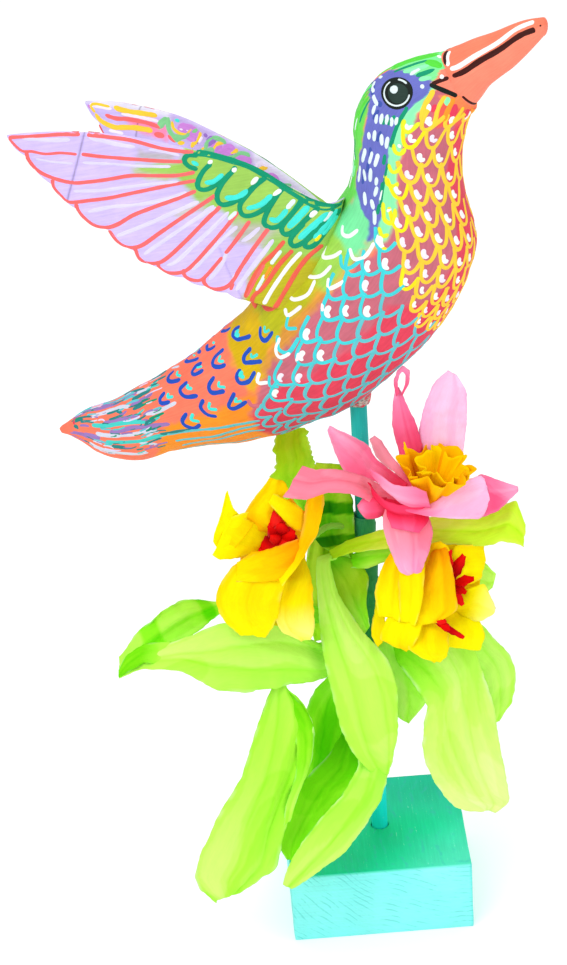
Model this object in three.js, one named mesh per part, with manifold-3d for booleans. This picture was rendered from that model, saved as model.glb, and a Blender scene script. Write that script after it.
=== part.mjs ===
// A painted papier-mache hummingbird on a wooden stand, with crepe-paper
// flowers and leaves tied to the post. Millimetres, +Z up.
//
// The origin is on the underside of the base block, on the axis of the post.
// +X runs along the front edge of the block, and the front of the block
// faces -Y. The bird looks towards +X and is turned a little to the front.

import * as THREE from 'three';
import { mergeVertices } from 'three/addons/utils/BufferGeometryUtils.js';
import Module from 'manifold-3d';

const wasm = await Module();
wasm.setup();

// ---------------------------------------------------------------------------
// Driving dimensions
// ---------------------------------------------------------------------------

const GAP = 0.3;                    // clearance between neighbouring pieces

const BLOCK_WIDTH = 89;             // dressed width of a 2 x 4 offcut
const BLOCK_DEPTH = 82;
const BLOCK_HEIGHT = 38;            // dressed thickness of a 2 x 4
const BLOCK_CENTRE = [-2.5, 1];     // the post hole is drilled off centre
const SOCKET_RADIUS = 4.5;
const SOCKET_FLOOR = 13;

const POST_RADIUS = 4;              // 5/16 inch dowel
const POST_BOTTOM = SOCKET_FLOOR + GAP;
const POST_TOP = 322;
const POST_HOLE_RADIUS = POST_RADIUS + 0.5;
const ROUND_SIDES = 24;

const WRAP_RADIUS = 5.6;            // floral tape wound around the post
const WRAP_BOTTOM = 112;
const WRAP_TOP = 214;

const BIRD_TURN = -20;              // degrees about the post
const SKIN_WALL = 3.2;              // layers of pasted paper
const BODY_SIDES = 28;
const CORE_SIDES = 16;
const WING_THICKNESS = 3;
const PAPER_THICKNESS = 0.7;
const STEM_RADIUS = 1.5;

// The bird's body from tail to beak: back edge x, z, belly edge x, z, and
// half the width, in the bird's own frame (x forward, z up).
const BODY_SECTIONS = [
  { back: [-149, 247], belly: [-148, 243.5], half: 3 },
  { back: [-137, 256], belly: [-140, 240.5], half: 6 },
  { back: [-121, 263], belly: [-127, 234], half: 11 },
  { back: [-108, 271.5], belly: [-107.6, 233.6], half: 14 },
  { back: [-96, 279], belly: [-92.5, 240], half: 15.6 },
  { back: [-81, 290], belly: [-74, 245], half: 19 },
  { back: [-71, 299], belly: [-55, 249], half: 22 },
  { back: [-58, 311], belly: [-34.5, 256], half: 25 },
  { back: [-51, 318], belly: [-22, 263], half: 27 },
  { back: [-38, 336], belly: [-2, 273], half: 31 },
  { back: [-22, 354], belly: [19.5, 292], half: 31.5 },
  { back: [-9, 369], belly: [38, 312.5], half: 30 },
  { back: [-1, 380], belly: [52, 336], half: 28 },
  { back: [2.5, 387], belly: [58, 357], half: 26 },
  { back: [4.5, 396], belly: [54, 381], half: 22 },
  { back: [5, 404], belly: [53, 396], half: 21.4 },
  { back: [5, 413], belly: [55, 410], half: 21.4 },
  { back: [7, 421], belly: [58, 419], half: 21 },
  { back: [12, 430], belly: [60, 421.5], half: 19.5 },
  { back: [20, 437.5], belly: [60.5, 422.5], half: 17 },
  { back: [32, 443.5], belly: [60.5, 423.5], half: 14 },
  { back: [47, 448], belly: [60, 424.5], half: 10.6 },
];

// The beak is a solid cone of pasted paper, from its root to its blunt tip.
const BEAK_SECTIONS = [
  { back: [47.5, 448.3], belly: [60.5, 424.8], half: 10.4 },
  { back: [58, 453.5], belly: [68, 434.5], half: 9 },
  { back: [70, 458.5], belly: [77.5, 442.5], half: 7 },
  { back: [81, 463.5], belly: [85.5, 450.5], half: 5 },
  { back: [91, 466], belly: [91.5, 457.5], half: 3.2 },
];

// One wing lies in a plane through its shoulder, its rear root and its tip.
// Its two edges run outwards from the shoulder: distance along the line from
// shoulder to tip, then distance below that line.
const WING_LEADING = [[6, -1], [33, -9], [66, -14], [96, -14], [126, -9], [150, -1]];
const WING_TRAILING = [[0, 56], [31, 56], [66, 49], [97, 37], [126, 18], [149, 2]];
const WINGS = {
  right_wing: { shoulder: [-0.5, -19, 378.6], root: [-43.4, -24, 331.4], tip: [-144, -46, 414.4] },
  left_wing: { shoulder: [-8, 11, 363], root: [-52, 26, 320], tip: [-142, 58, 388] },
};

// Leaves: centre line points, the width at each of them, and the side that
// the face of the leaf looks to. A positive cup lifts the edges to that side.
const LEAVES = {
  leaf_left_front: {
    spine: [[-9, -7, 148], [-32, -26, 158], [-56, -38, 163], [-86, -46, 166], [-120, -42, 161]],
    widths: [4, 20, 38, 24, 3], faces: [0.1, -0.8, 0.7], cup: -4,
  },
  leaf_left_back: {
    spine: [[-9, -1, 163], [-36, -6, 172], [-62, -12, 178], [-92, -20, 176], [-119, -30, 162]],
    widths: [4, 12, 20, 26, 5], faces: [0, -0.9, 0.5], cup: 3,
  },
  leaf_centre: {
    spine: [[-8, -8, 197], [-19, -16, 196], [-18, -30, 174], [-11, -37, 139], [2, -32, 95]],
    widths: [3, 9, 20, 32, 5], faces: [-0.2, -1, 0.2], cup: -3,
  },
  leaf_lower_left: {
    spine: [[-10, -7, 128], [-32, -28, 134], [-50, -46, 117], [-66, -58, 84], [-86, -66, 46]],
    widths: [4, 16, 28, 37, 10], faces: [-0.3, -0.9, 0.3], cup: -4,
  },
  leaf_lower_middle: {
    spine: [[-7, -10, 118], [-10, -28, 102], [-21, -42, 80], [-38, -52, 62], [-51, -57, 46]],
    widths: [4, 22, 30, 26, 5], faces: [0.4, -0.9, 0.3], cup: 4,
  },
  leaf_lower_back: {
    spine: [[-9, 3, 130], [-20, 1, 116], [-28, -3, 90], [-35, -8, 60]],
    widths: [4, 22, 26, 6], faces: [-0.2, -1, 0.1], cup: 2,
  },
  leaf_right_front: {
    spine: [[8, -7, 150], [28, -20, 152], [38, -30, 128], [43, -35, 98], [47, -38, 66]],
    widths: [4, 22, 33, 40, 24], faces: [0.1, -1, 0.2], cup: -4,
  },
  leaf_right_back: {
    spine: [[9, 3, 150], [36, 4, 152], [54, 2, 136], [60, -2, 112], [58, -6, 92]],
    widths: [4, 20, 30, 24, 8], faces: [0.2, -1, 0.1], cup: 3,
  },
  leaf_long_right: {
    spine: [[-17, -10, 203], [14, -19, 205], [44, -23, 213], [66, -24, 219], [73, -23, 212]],
    widths: [6, 14, 13, 14, 8], faces: [0, -0.7, 0.7], cup: 2,
  },
  leaf_wrapped: {
    spine: [[-9, 2, 180], [-13, 4, 200], [-17, 6, 222], [-19, 8, 240]],
    widths: [4, 14, 17, 10], faces: [-0.2, -1, 0], cup: 3,
  },
  leaf_small_right: {
    spine: [[9, 3, 174], [30, 6, 178], [52, 4, 178], [62, 0, 170]],
    widths: [4, 16, 22, 8], faces: [0.1, -1, 0.2], cup: 2,
  },
  leaf_upright: {
    spine: [[-7, 8, 190], [-18, 20, 208], [-28, 29, 230], [-32, 33, 252]],
    widths: [4, 16, 20, 14], faces: [-0.1, -1, 0], cup: 4,
  },
  leaf_hanging: {
    spine: [[8.5, -2, 140], [15, -12, 134], [17, -16, 118], [17, -17, 104]],
    widths: [3, 12, 11, 2], faces: [0, -1, 0.1], cup: 1,
  },
};

// Flowers: the middle of the flower, the way it faces, the points that its
// wire stem runs through, and its petals. A petal gives a point halfway, its
// tip, its three widths and its ring, counted from 0 at the back.
const FLOWERS = {
  left_flower: {
    middle: [-36, -30, 213], facing: [-0.5, -0.76, 0.42], colour: 0xffdc00,
    stem: [[-7.2, -2.5, 209], [-19, -9, 213], [-32, -24.4, 210.4]],
    petals: [
      { half: [-57, -35, 229], tip: [-68, -44, 251], widths: [3.4, 18, 4], ring: 0 },
      { half: [-57, -46, 221], tip: [-72, -51, 228], widths: [4, 21, 18], ring: 1 },
      { half: [-58, -37, 201], tip: [-65, -42, 182], widths: [3.4, 24, 18], ring: 0 },
      { half: [-34, -46, 197], tip: [-33, -43, 171], widths: [3.4, 17, 16], ring: 2 },
      { half: [-35, -38, 236], tip: [-38, -30, 252], widths: [3.4, 15, 13], ring: 2 },
      { half: [-23, -29, 220], tip: [-20, -32, 241], widths: [4, 18, 12], ring: 0 },
      { half: [-23, -26, 204], tip: [-19, -30, 188], widths: [3.4, 14, 13], ring: 0 },
    ],
  },
  right_flower: {
    middle: [32, -24, 182], facing: [0.6, -0.77, 0.2], colour: 0xffd400,
    stem: [[8, -4, 166], [17, -11, 169], [27.5, -18.5, 178]],
    petals: [
      { half: [19, -29, 170], tip: [8, -30, 158], widths: [4, 18, 16], ring: 0 },
      { half: [21, -38, 190], tip: [11, -46, 190], widths: [4, 19, 17], ring: 1 },
      { half: [31, -38, 168], tip: [30, -42, 152], widths: [4, 22, 18], ring: 1 },
      { half: [45, -25, 165], tip: [51, -29, 152], widths: [4, 18, 15], ring: 0 },
      { half: [50, -27, 180], tip: [61, -29, 173], widths: [4, 20, 18], ring: 1 },
      { half: [44, -17, 196], tip: [54, -14, 200], widths: [4, 18, 14], ring: 0 },
      { half: [34, -31, 199], tip: [35, -36, 207], widths: [4, 15, 14], ring: 1 },
    ],
  },
  pink_flower: {
    middle: [27, -21, 231], facing: [0.2, -0.6, 0.77], colour: 0xff96b8,
    stem: [[5.5, -8, 219], [14, -13, 219], [23.5, -16.5, 225]],
    petals: [
      { half: [42, -17, 260], tip: [42, -14, 293], widths: [3, 23, 8], ring: 0 },
      { half: [17, -18, 262], tip: [19, -19, 296], widths: [3, 10, 5], ring: 1 },
      { half: [13, -13, 245], tip: [8, -9, 259], widths: [3, 8, 6], ring: 0 },
      { half: [0, -22, 249], tip: [-14, -24, 272], widths: [3, 13, 5], ring: 2 },
      { half: [-5, -33, 236], tip: [-34, -44, 251], widths: [4, 14, 9], ring: 1 },
      { half: [20, -38, 220], tip: [18, -44, 200], widths: [4, 26, 8], ring: 0 },
      { half: [50, -29, 237], tip: [70, -32, 240], widths: [4, 22, 8], ring: 0 },
      { half: [13, -52, 238], tip: [0, -62, 250], widths: [3, 13, 12], ring: 2 },
    ],
  },
};

// ---------------------------------------------------------------------------
// Geometry helpers
// ---------------------------------------------------------------------------

const vector = (values) => new THREE.Vector3(...values);

function welded(geometry) {
  const bare = geometry.index ? geometry.toNonIndexed() : geometry.clone();
  bare.deleteAttribute('normal');
  bare.deleteAttribute('uv');
  return mergeVertices(bare, 1e-5);
}

function toManifold(geometry) {
  const merged = welded(geometry);
  return new wasm.Manifold(new wasm.Mesh({
    numProp: 3,
    vertProperties: new Float32Array(merged.getAttribute('position').array),
    triVerts: new Uint32Array(merged.index.array),
  }));
}

function fromManifold(solid) {
  const mesh = solid.getMesh();
  const geometry = new THREE.BufferGeometry();
  geometry.setAttribute('position', new THREE.BufferAttribute(mesh.vertProperties, 3));
  geometry.setIndex(new THREE.BufferAttribute(mesh.triVerts, 1));
  return geometry;
}

// Moves every vertex of a geometry through a function of its position.
function reshape(geometry, place) {
  const position = geometry.getAttribute('position');
  for (let i = 0; i < position.count; i += 1) {
    const moved = place(position.getX(i), position.getY(i), position.getZ(i));
    position.setXYZ(i, moved.x, moved.y, moved.z);
  }
  return geometry;
}

// An upright round bar from one height to another.
function bar(radius, bottom, top, sides = ROUND_SIDES) {
  const geometry = new THREE.CylinderGeometry(radius, radius, top - bottom, sides);
  geometry.rotateX(Math.PI / 2);
  geometry.translate(0, 0, (top + bottom) / 2);
  return geometry;
}

// A closed skin through elliptical sections. Grow moves the skin outwards.
function loft(sections, sides, grow = 0) {
  const last = sections.length - 1;
  const tube = new THREE.CylinderGeometry(1, 1, last, sides, last);
  return reshape(tube, (x, y, z) => {
    const section = sections[Math.round(last / 2 - y)];
    const back = new THREE.Vector3(section.back[0], 0, section.back[1]);
    const belly = new THREE.Vector3(section.belly[0], 0, section.belly[1]);
    const centre = back.clone().add(belly).multiplyScalar(0.5);
    const up = back.sub(belly).multiplyScalar(0.5);
    up.setLength(up.length() + grow);
    return centre.addScaledVector(up, z).add(new THREE.Vector3(0, x * (section.half + grow), 0));
  });
}

// A thin closed sheet over surface(along, across), both running 0 to 1.
function sheet(surface, thickness, rows, columns) {
  const slab = new THREE.BoxGeometry(1, 1, 1, columns, rows, 1);
  const step = 0.01;
  return reshape(slab, (x, y, z) => {
    const across = x + 0.5;
    const along = y + 0.5;
    const acrossDirection = surface(along, across + step).sub(surface(along, across - step));
    const alongDirection = surface(along + step, across).sub(surface(along - step, across));
    const normal = acrossDirection.cross(alongDirection).normalize();
    return surface(along, across).addScaledVector(normal, z * thickness);
  });
}

// The point of a smooth curve at any parameter, carried straight on past its ends.
function curvePoint(curve, along) {
  const inside = THREE.MathUtils.clamp(along, 0, 1);
  const point = curve.getPoint(inside);
  const slope = curve.getTangent(inside).multiplyScalar(curve.getLength());
  return point.addScaledVector(slope, along - inside);
}

// A leaf or petal: a centre line, a width at each of its points, the side it
// faces, and a cup that lifts its two edges to that side.
function blade({ spine, widths, side, faces, cup }) {
  const line = new THREE.CatmullRomCurve3(spine.map(vector), false, 'centripetal');
  const widthPoints = widths.map((width, i) => new THREE.Vector3(i, width, 0));
  const widthLine = new THREE.CatmullRomCurve3(widthPoints, false, 'catmullrom', 0.4);
  return (along, across) => {
    const inside = THREE.MathUtils.clamp(along, 0, 1);
    const width = widthLine.getPoint(inside).y;
    const offset = 2 * across - 1;
    const lift = cup * offset * offset * Math.sin(Math.PI * inside);
    return curvePoint(line, along)
      .addScaledVector(side, offset * width / 2)
      .addScaledVector(faces, lift);
  };
}

function tube(points, radius) {
  const path = new THREE.CatmullRomCurve3(points.map(vector));
  const section = new THREE.Shape().absarc(0, 0, radius, 0, 2 * Math.PI);
  const settings = { steps: 6, curveSegments: 4, bevelEnabled: false, extrudePath: path };
  return new THREE.ExtrudeGeometry(section, settings);
}

function piece(name, geometry, colour, roughness) {
  const material = new THREE.MeshStandardMaterial({ color: colour, roughness, metalness: 0 });
  const mesh = new THREE.Mesh(geometry, material);
  mesh.name = name;
  return mesh;
}

// ---------------------------------------------------------------------------
// Stand
// ---------------------------------------------------------------------------

function baseBlock() {
  const block = new THREE.BoxGeometry(BLOCK_WIDTH, BLOCK_DEPTH, BLOCK_HEIGHT);
  block.translate(...BLOCK_CENTRE, BLOCK_HEIGHT / 2);
  const socket = bar(SOCKET_RADIUS, SOCKET_FLOOR, BLOCK_HEIGHT + 5);
  return fromManifold(toManifold(block).subtract(toManifold(socket)));
}

function stemWrap() {
  const sleeve = bar(WRAP_RADIUS, WRAP_BOTTOM, WRAP_TOP, 16);
  const hole = bar(POST_HOLE_RADIUS, WRAP_BOTTOM - 5, WRAP_TOP + 5);
  return fromManifold(toManifold(sleeve).subtract(toManifold(hole)));
}

// ---------------------------------------------------------------------------
// Bird
// ---------------------------------------------------------------------------

const CORE_SECTIONS = BODY_SECTIONS.slice(4, -1);

function bodySkin() {
  const outside = toManifold(loft(BODY_SECTIONS, BODY_SIDES));
  const hollow = toManifold(loft(CORE_SECTIONS, CORE_SIDES, -SKIN_WALL));
  const postHole = toManifold(bar(POST_HOLE_RADIUS, 200, POST_TOP));
  return fromManifold(outside.subtract(hollow).subtract(postHole));
}

function paperCore() {
  const core = toManifold(loft(CORE_SECTIONS.slice(1, -1), CORE_SIDES, -SKIN_WALL - 2 * GAP));
  const postHole = toManifold(bar(POST_HOLE_RADIUS, 200, POST_TOP + GAP));
  return fromManifold(core.subtract(postHole));
}

// The flat wing runs from the body outwards and is trimmed to the body.
function wing({ shoulder, root, tip }) {
  const origin = vector(shoulder);
  const outwards = vector(tip).sub(origin).normalize();
  const towardsRoot = vector(root).sub(origin);
  const downwards = towardsRoot.addScaledVector(outwards, -towardsRoot.dot(outwards)).normalize();
  const edge = (points) => new THREE.CatmullRomCurve3(points.map(([along, below]) => (
    origin.clone().addScaledVector(outwards, along).addScaledVector(downwards, below))));
  const leading = edge(WING_LEADING);
  const trailing = edge(WING_TRAILING);
  const surface = (along, across) => (
    curvePoint(leading, along).lerp(curvePoint(trailing, along), across));
  const panel = toManifold(sheet(surface, WING_THICKNESS, 14, 4));
  return fromManifold(panel.subtract(toManifold(loft(BODY_SECTIONS, BODY_SIDES, GAP))));
}

function bird() {
  const group = new THREE.Group();
  group.rotation.z = THREE.MathUtils.degToRad(BIRD_TURN);
  group.add(piece('body_skin', bodySkin(), 0xe8a050, 0.6));
  group.add(piece('paper_core', paperCore(), 0xb8b4a8, 0.9));
  group.add(piece('beak', loft(BEAK_SECTIONS, 20), 0xff8c73, 0.5));
  for (const [name, plan] of Object.entries(WINGS)) {
    group.add(piece(name, wing(plan), 0xd0befa, 0.6));
  }
  return group;
}

// ---------------------------------------------------------------------------
// Leaves and flowers
// ---------------------------------------------------------------------------

function leaf({ spine, widths, faces, cup }) {
  const front = vector(faces).normalize();
  const chord = vector(spine[spine.length - 1]).sub(vector(spine[0]));
  const side = chord.cross(front).normalize();
  return sheet(blade({ spine, widths, side, faces: front, cup }), PAPER_THICKNESS, 9, 4);
}

const PETAL_RING_RADIUS = 3.4;
const PETAL_RING_STEP = 2.6;

// A petal starts on a small ring around the middle of its flower, on the
// side that its tip points to, and bends through its halfway point.
function petal(flower, { half, tip, widths, ring }) {
  const facing = vector(flower.facing).normalize();
  const middle = vector(flower.middle);
  const outwards = vector(tip).sub(middle).projectOnPlane(facing).normalize();
  const start = middle.clone()
    .addScaledVector(outwards, PETAL_RING_RADIUS)
    .addScaledVector(facing, ring * PETAL_RING_STEP);
  const side = outwards.cross(facing);
  const plan = { spine: [start.toArray(), half, tip], widths, side, faces: facing, cup: 2 };
  return sheet(blade(plan), PAPER_THICKNESS, 7, 4);
}

// A round tuft or cup on the axis of a flower: radius and height pairs.
function flowerCentre(flower, profile) {
  const geometry = new THREE.LatheGeometry(profile.map((p) => new THREE.Vector2(...p)), 12);
  const upright = new THREE.Vector3(0, 1, 0);
  const turn = new THREE.Quaternion().setFromUnitVectors(upright, vector(flower.facing).normalize());
  geometry.applyQuaternion(turn);
  geometry.translate(...flower.middle);
  return geometry;
}

const TUFT_PROFILE = [[0, 6], [1.2, 6], [4.4, 13], [4.2, 16], [0, 17]];
const CORONA_PROFILE = [[0, 6], [3, 6], [8, 12], [15, 21], [14.2, 21.6], [7.2, 13.2], [0, 10]];

function flowers() {
  const group = new THREE.Group();
  for (const [name, flower] of Object.entries(FLOWERS)) {
    group.add(piece(`${name}_stem`, tube(flower.stem, STEM_RADIUS), 0x1f6b2c, 0.8));
    const corona = name === 'pink_flower';
    const profile = corona ? CORONA_PROFILE : TUFT_PROFILE;
    const centreColour = corona ? 0xffcd00 : 0xe01008;
    group.add(piece(`${name}_centre`, flowerCentre(flower, profile), centreColour, 0.8));
    flower.petals.forEach((plan, i) => {
      group.add(piece(`${name}_petal_${i + 1}`, petal(flower, plan), flower.colour, 0.8));
    });
  }
  return group;
}

function leaves() {
  const group = new THREE.Group();
  for (const [name, plan] of Object.entries(LEAVES)) {
    group.add(piece(name, leaf(plan), 0xb4ff50, 0.8));
  }
  return group;
}

// ---------------------------------------------------------------------------
// Whole figure
// ---------------------------------------------------------------------------

const figure = new THREE.Group();
figure.add(piece('base_block', baseBlock(), 0x40dcc8, 0.7));
figure.add(piece('post_dowel', bar(POST_RADIUS, POST_BOTTOM, POST_TOP - GAP), 0x2daaa5, 0.6));
figure.add(piece('stem_wrap', stemWrap(), 0x1f6b2c, 0.8));
figure.add(bird());
figure.add(leaves());
figure.add(flowers());

export default figure;
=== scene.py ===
"""Looks of the painted papier-mache hummingbird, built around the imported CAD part.

Shapes are worked out in millimetres, in the figure's own frame, and turned into metres
when a mesh is made. The bird has a frame of its own, turned about the post.
"""

import math

import bmesh
import bpy
import numpy as np
from mathutils import Matrix, Vector
from mathutils.bvhtree import BVHTree


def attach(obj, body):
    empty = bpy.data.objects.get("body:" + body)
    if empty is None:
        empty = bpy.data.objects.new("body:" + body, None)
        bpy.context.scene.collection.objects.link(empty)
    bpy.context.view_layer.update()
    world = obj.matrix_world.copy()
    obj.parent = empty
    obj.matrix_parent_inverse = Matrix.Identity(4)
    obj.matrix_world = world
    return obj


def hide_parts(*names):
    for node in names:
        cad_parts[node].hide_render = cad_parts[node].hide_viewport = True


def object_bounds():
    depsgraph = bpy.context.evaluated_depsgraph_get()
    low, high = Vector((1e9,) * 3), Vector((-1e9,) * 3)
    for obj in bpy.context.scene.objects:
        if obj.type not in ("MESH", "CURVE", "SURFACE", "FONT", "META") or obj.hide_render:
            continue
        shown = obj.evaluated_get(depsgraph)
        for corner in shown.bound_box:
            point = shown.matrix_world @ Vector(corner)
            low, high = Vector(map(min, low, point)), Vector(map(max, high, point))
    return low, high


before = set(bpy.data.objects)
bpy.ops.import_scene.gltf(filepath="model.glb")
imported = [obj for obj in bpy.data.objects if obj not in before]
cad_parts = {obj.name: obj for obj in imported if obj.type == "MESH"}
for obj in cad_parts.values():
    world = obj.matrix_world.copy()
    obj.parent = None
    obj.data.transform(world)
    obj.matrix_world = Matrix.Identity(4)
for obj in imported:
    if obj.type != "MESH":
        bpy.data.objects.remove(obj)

CAD_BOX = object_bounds()

MM = 0.001
SEED = 11
rng = np.random.default_rng(SEED)

# ---------------------------------------------------------------------------
# Numbers: noise, curves, frames
# ---------------------------------------------------------------------------

_PERM = np.tile(rng.permutation(256), 2)
_GRAD = rng.normal(size=(256, 3))
_GRAD /= np.linalg.norm(_GRAD, axis=1)[:, None]


def noise(points, size=1.0, shift=0.0):
    """Smooth noise from about -1 to 1, with lumps of the given size."""
    p = np.asarray(points, float) / size + shift
    base = np.floor(p).astype(int)
    f = p - base
    w = f * f * f * (f * (f * 6 - 15) + 10)
    total = np.zeros(len(p))
    for corner in np.ndindex(2, 2, 2):
        c = np.array(corner)
        h = _PERM[(base[:, 0] + c[0]) & 255]
        h = _PERM[(h + base[:, 1] + c[1]) & 255]
        h = _PERM[(h + base[:, 2] + c[2]) & 255]
        weight = np.prod(np.where(c, w, 1 - w), axis=1)
        total += weight * np.einsum("ij,ij->i", _GRAD[h], f - c)
    return total * 1.6


def noise1(values, size=1.0, shift=0.0):
    """Smooth noise along one number."""
    v = np.atleast_1d(np.asarray(values, float))
    return noise(np.stack([v, v * 0 + 0.37 * size, v * 0 + 0.71 * size], 1), size, shift)


def spline(values, at):
    """A smooth curve through the values, read at 0, 1, 2 ... or between."""
    v = np.asarray(values, float)
    at = np.asarray(at, float)
    last = len(v) - 1
    i = np.clip(np.floor(at).astype(int), 0, last - 1)
    t = at - i
    t = t.reshape(t.shape + (1,) * (v.ndim - 1))
    p0, p1 = v[np.maximum(i - 1, 0)], v[i]
    p2, p3 = v[i + 1], v[np.minimum(i + 2, last)]
    return 0.5 * (
        2 * p1
        + (p2 - p0) * t
        + (2 * p0 - 5 * p1 + 4 * p2 - p3) * t ** 2
        + (3 * p1 - p0 - 3 * p2 + p3) * t ** 3
    )


def unit(v):
    v = np.asarray(v, float)
    return v / np.maximum(np.linalg.norm(v, axis=-1, keepdims=True), 1e-12)


def distances(points):
    """How far along a line each of its points lies."""
    return np.r_[0, np.cumsum(np.linalg.norm(np.diff(points, axis=0), axis=1))]


def spread(points, count):
    """So many evenly spaced points along a line."""
    lengths = distances(points)
    at = np.linspace(0, lengths[-1], count)
    return np.stack([np.interp(at, lengths, points[:, i]) for i in range(points.shape[1])], 1)


def fine_curve(points, steps):
    """Close points on a smooth curve through a few points."""
    v = np.asarray(points, float)
    if len(v) == 2:
        v = np.stack([v[0], v.mean(0), v[1]])
    return spline(v, np.linspace(0, len(v) - 1, (len(v) - 1) * steps + 1))


def smooth_path(points, step):
    """Evenly spaced points on a smooth curve through a few points."""
    fine = fine_curve(points, 24)
    return spread(fine, max(3, int(round(distances(fine)[-1] / step)) + 1))


def ramp(x, low, high):
    """0 below low, 1 above high, smooth between."""
    t = np.clip((np.asarray(x, float) - low) / (high - low), 0, 1)
    return t * t * (3 - 2 * t)


def rgb(r, g, b):
    """A colour as it looks, 0 to 255, as the linear colour that a shader takes."""
    c = np.array([r, g, b], float) / 255
    return np.where(c <= 0.04045, c / 12.92, ((c + 0.055) / 1.055) ** 2.4)


def mix(a, b, share):
    """From a to b as share goes from 0 to 1."""
    return a * (1 - share) + b * share


BIRD_TURN = math.radians(-20)


def from_bird(p):
    """Points of the bird's own frame in the figure's frame."""
    p = np.atleast_2d(np.asarray(p, float))
    c, s = math.cos(BIRD_TURN), math.sin(BIRD_TURN)
    return np.stack([p[:, 0] * c - p[:, 1] * s, p[:, 0] * s + p[:, 1] * c, p[:, 2]], 1)


# ---------------------------------------------------------------------------
# Meshes
# ---------------------------------------------------------------------------


def grid_faces(rows, columns, start=0, closed=False, flip=False):
    """Quads of a grid of points, row by row. Closed joins the last column to the first."""
    spans = columns if closed else columns - 1
    r, c = np.meshgrid(np.arange(rows - 1), np.arange(spans), indexing="ij")
    a = start + r * columns + c
    b = start + r * columns + (c + 1) % columns
    quads = np.stack([a, b, b + columns, a + columns], -1).reshape(-1, 4)
    return quads[:, ::-1] if flip else quads


class Build:
    """Collects points, faces, and each point's place on the brush's path and colour, then
    makes one object of them."""

    def __init__(self):
        self.points, self.faces, self.brush, self.paint = [], [], [], []
        self.count = 0

    def add(self, points, faces, brush=None, paint=None):
        points = np.asarray(points, float).reshape(-1, 3)
        n = len(points)
        self.points.append(points)
        self.faces.extend((np.asarray(f) + self.count).tolist() for f in faces)
        self.brush.append(np.zeros((n, 3)) if brush is None else np.asarray(brush, float))
        self.paint.append(np.c_[np.ones((n, 3)) if paint is None else paint, np.ones(n)])
        self.count += n

    def make(self, name, material, body, slot, replaces=(), smooth=True):
        mesh = bpy.data.meshes.new(name)
        mesh.from_pydata((np.concatenate(self.points) * MM).tolist(), [], self.faces)
        brush = mesh.attributes.new("brush", "FLOAT_VECTOR", "POINT")
        brush.data.foreach_set("vector", np.concatenate(self.brush).astype(np.float32).ravel())
        paint = mesh.attributes.new("paint", "FLOAT_COLOR", "POINT")
        paint.data.foreach_set("color", np.concatenate(self.paint).astype(np.float32).ravel())
        mesh.polygons.foreach_set("use_smooth", [smooth] * len(mesh.polygons))
        mesh.validate()
        mesh.update()
        made = bpy.data.objects.new(name, mesh)
        place_in_scene(made)
        mesh.materials.append(material)
        outward(made)
        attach(made, body)
        if replaces:
            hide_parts(*replaces)
        return made


def place_in_scene(made):
    bpy.context.scene.collection.objects.link(made)
    return made


def outward(made):
    """Turns all faces of a closed mesh outwards."""
    shape = bmesh.new()
    shape.from_mesh(made.data)
    bmesh.ops.recalc_face_normals(shape, faces=shape.faces)
    shape.to_mesh(made.data)
    shape.free()


def tube_faces(rows, columns):
    """A closed tube of rings, with one flat face at each end."""
    faces = list(grid_faces(rows, columns, closed=True))
    faces.append(np.arange(columns)[::-1])
    faces.append(np.arange(columns) + (rows - 1) * columns)
    return faces


def shell(upper, lower):
    """Points and faces of a thin closed sheet between two grids of points."""
    rows, columns = upper.shape[:2]
    n = rows * columns
    faces = [*grid_faces(rows, columns), *grid_faces(rows, columns, n, flip=True)]
    rim = (
        [(r, 0) for r in range(rows)]
        + [(rows - 1, c) for c in range(1, columns)]
        + [(r, columns - 1) for r in range(rows - 2, -1, -1)]
        + [(0, c) for c in range(columns - 2, 0, -1)]
    )
    ids = [r * columns + c for r, c in rim]
    for a, b in zip(ids, ids[1:] + ids[:1]):
        faces.append(np.array([a, a + n, b + n, b])[::-1])
    return np.concatenate([upper.reshape(-1, 3), lower.reshape(-1, 3)]), faces


# ---------------------------------------------------------------------------
# Materials
# ---------------------------------------------------------------------------


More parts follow.
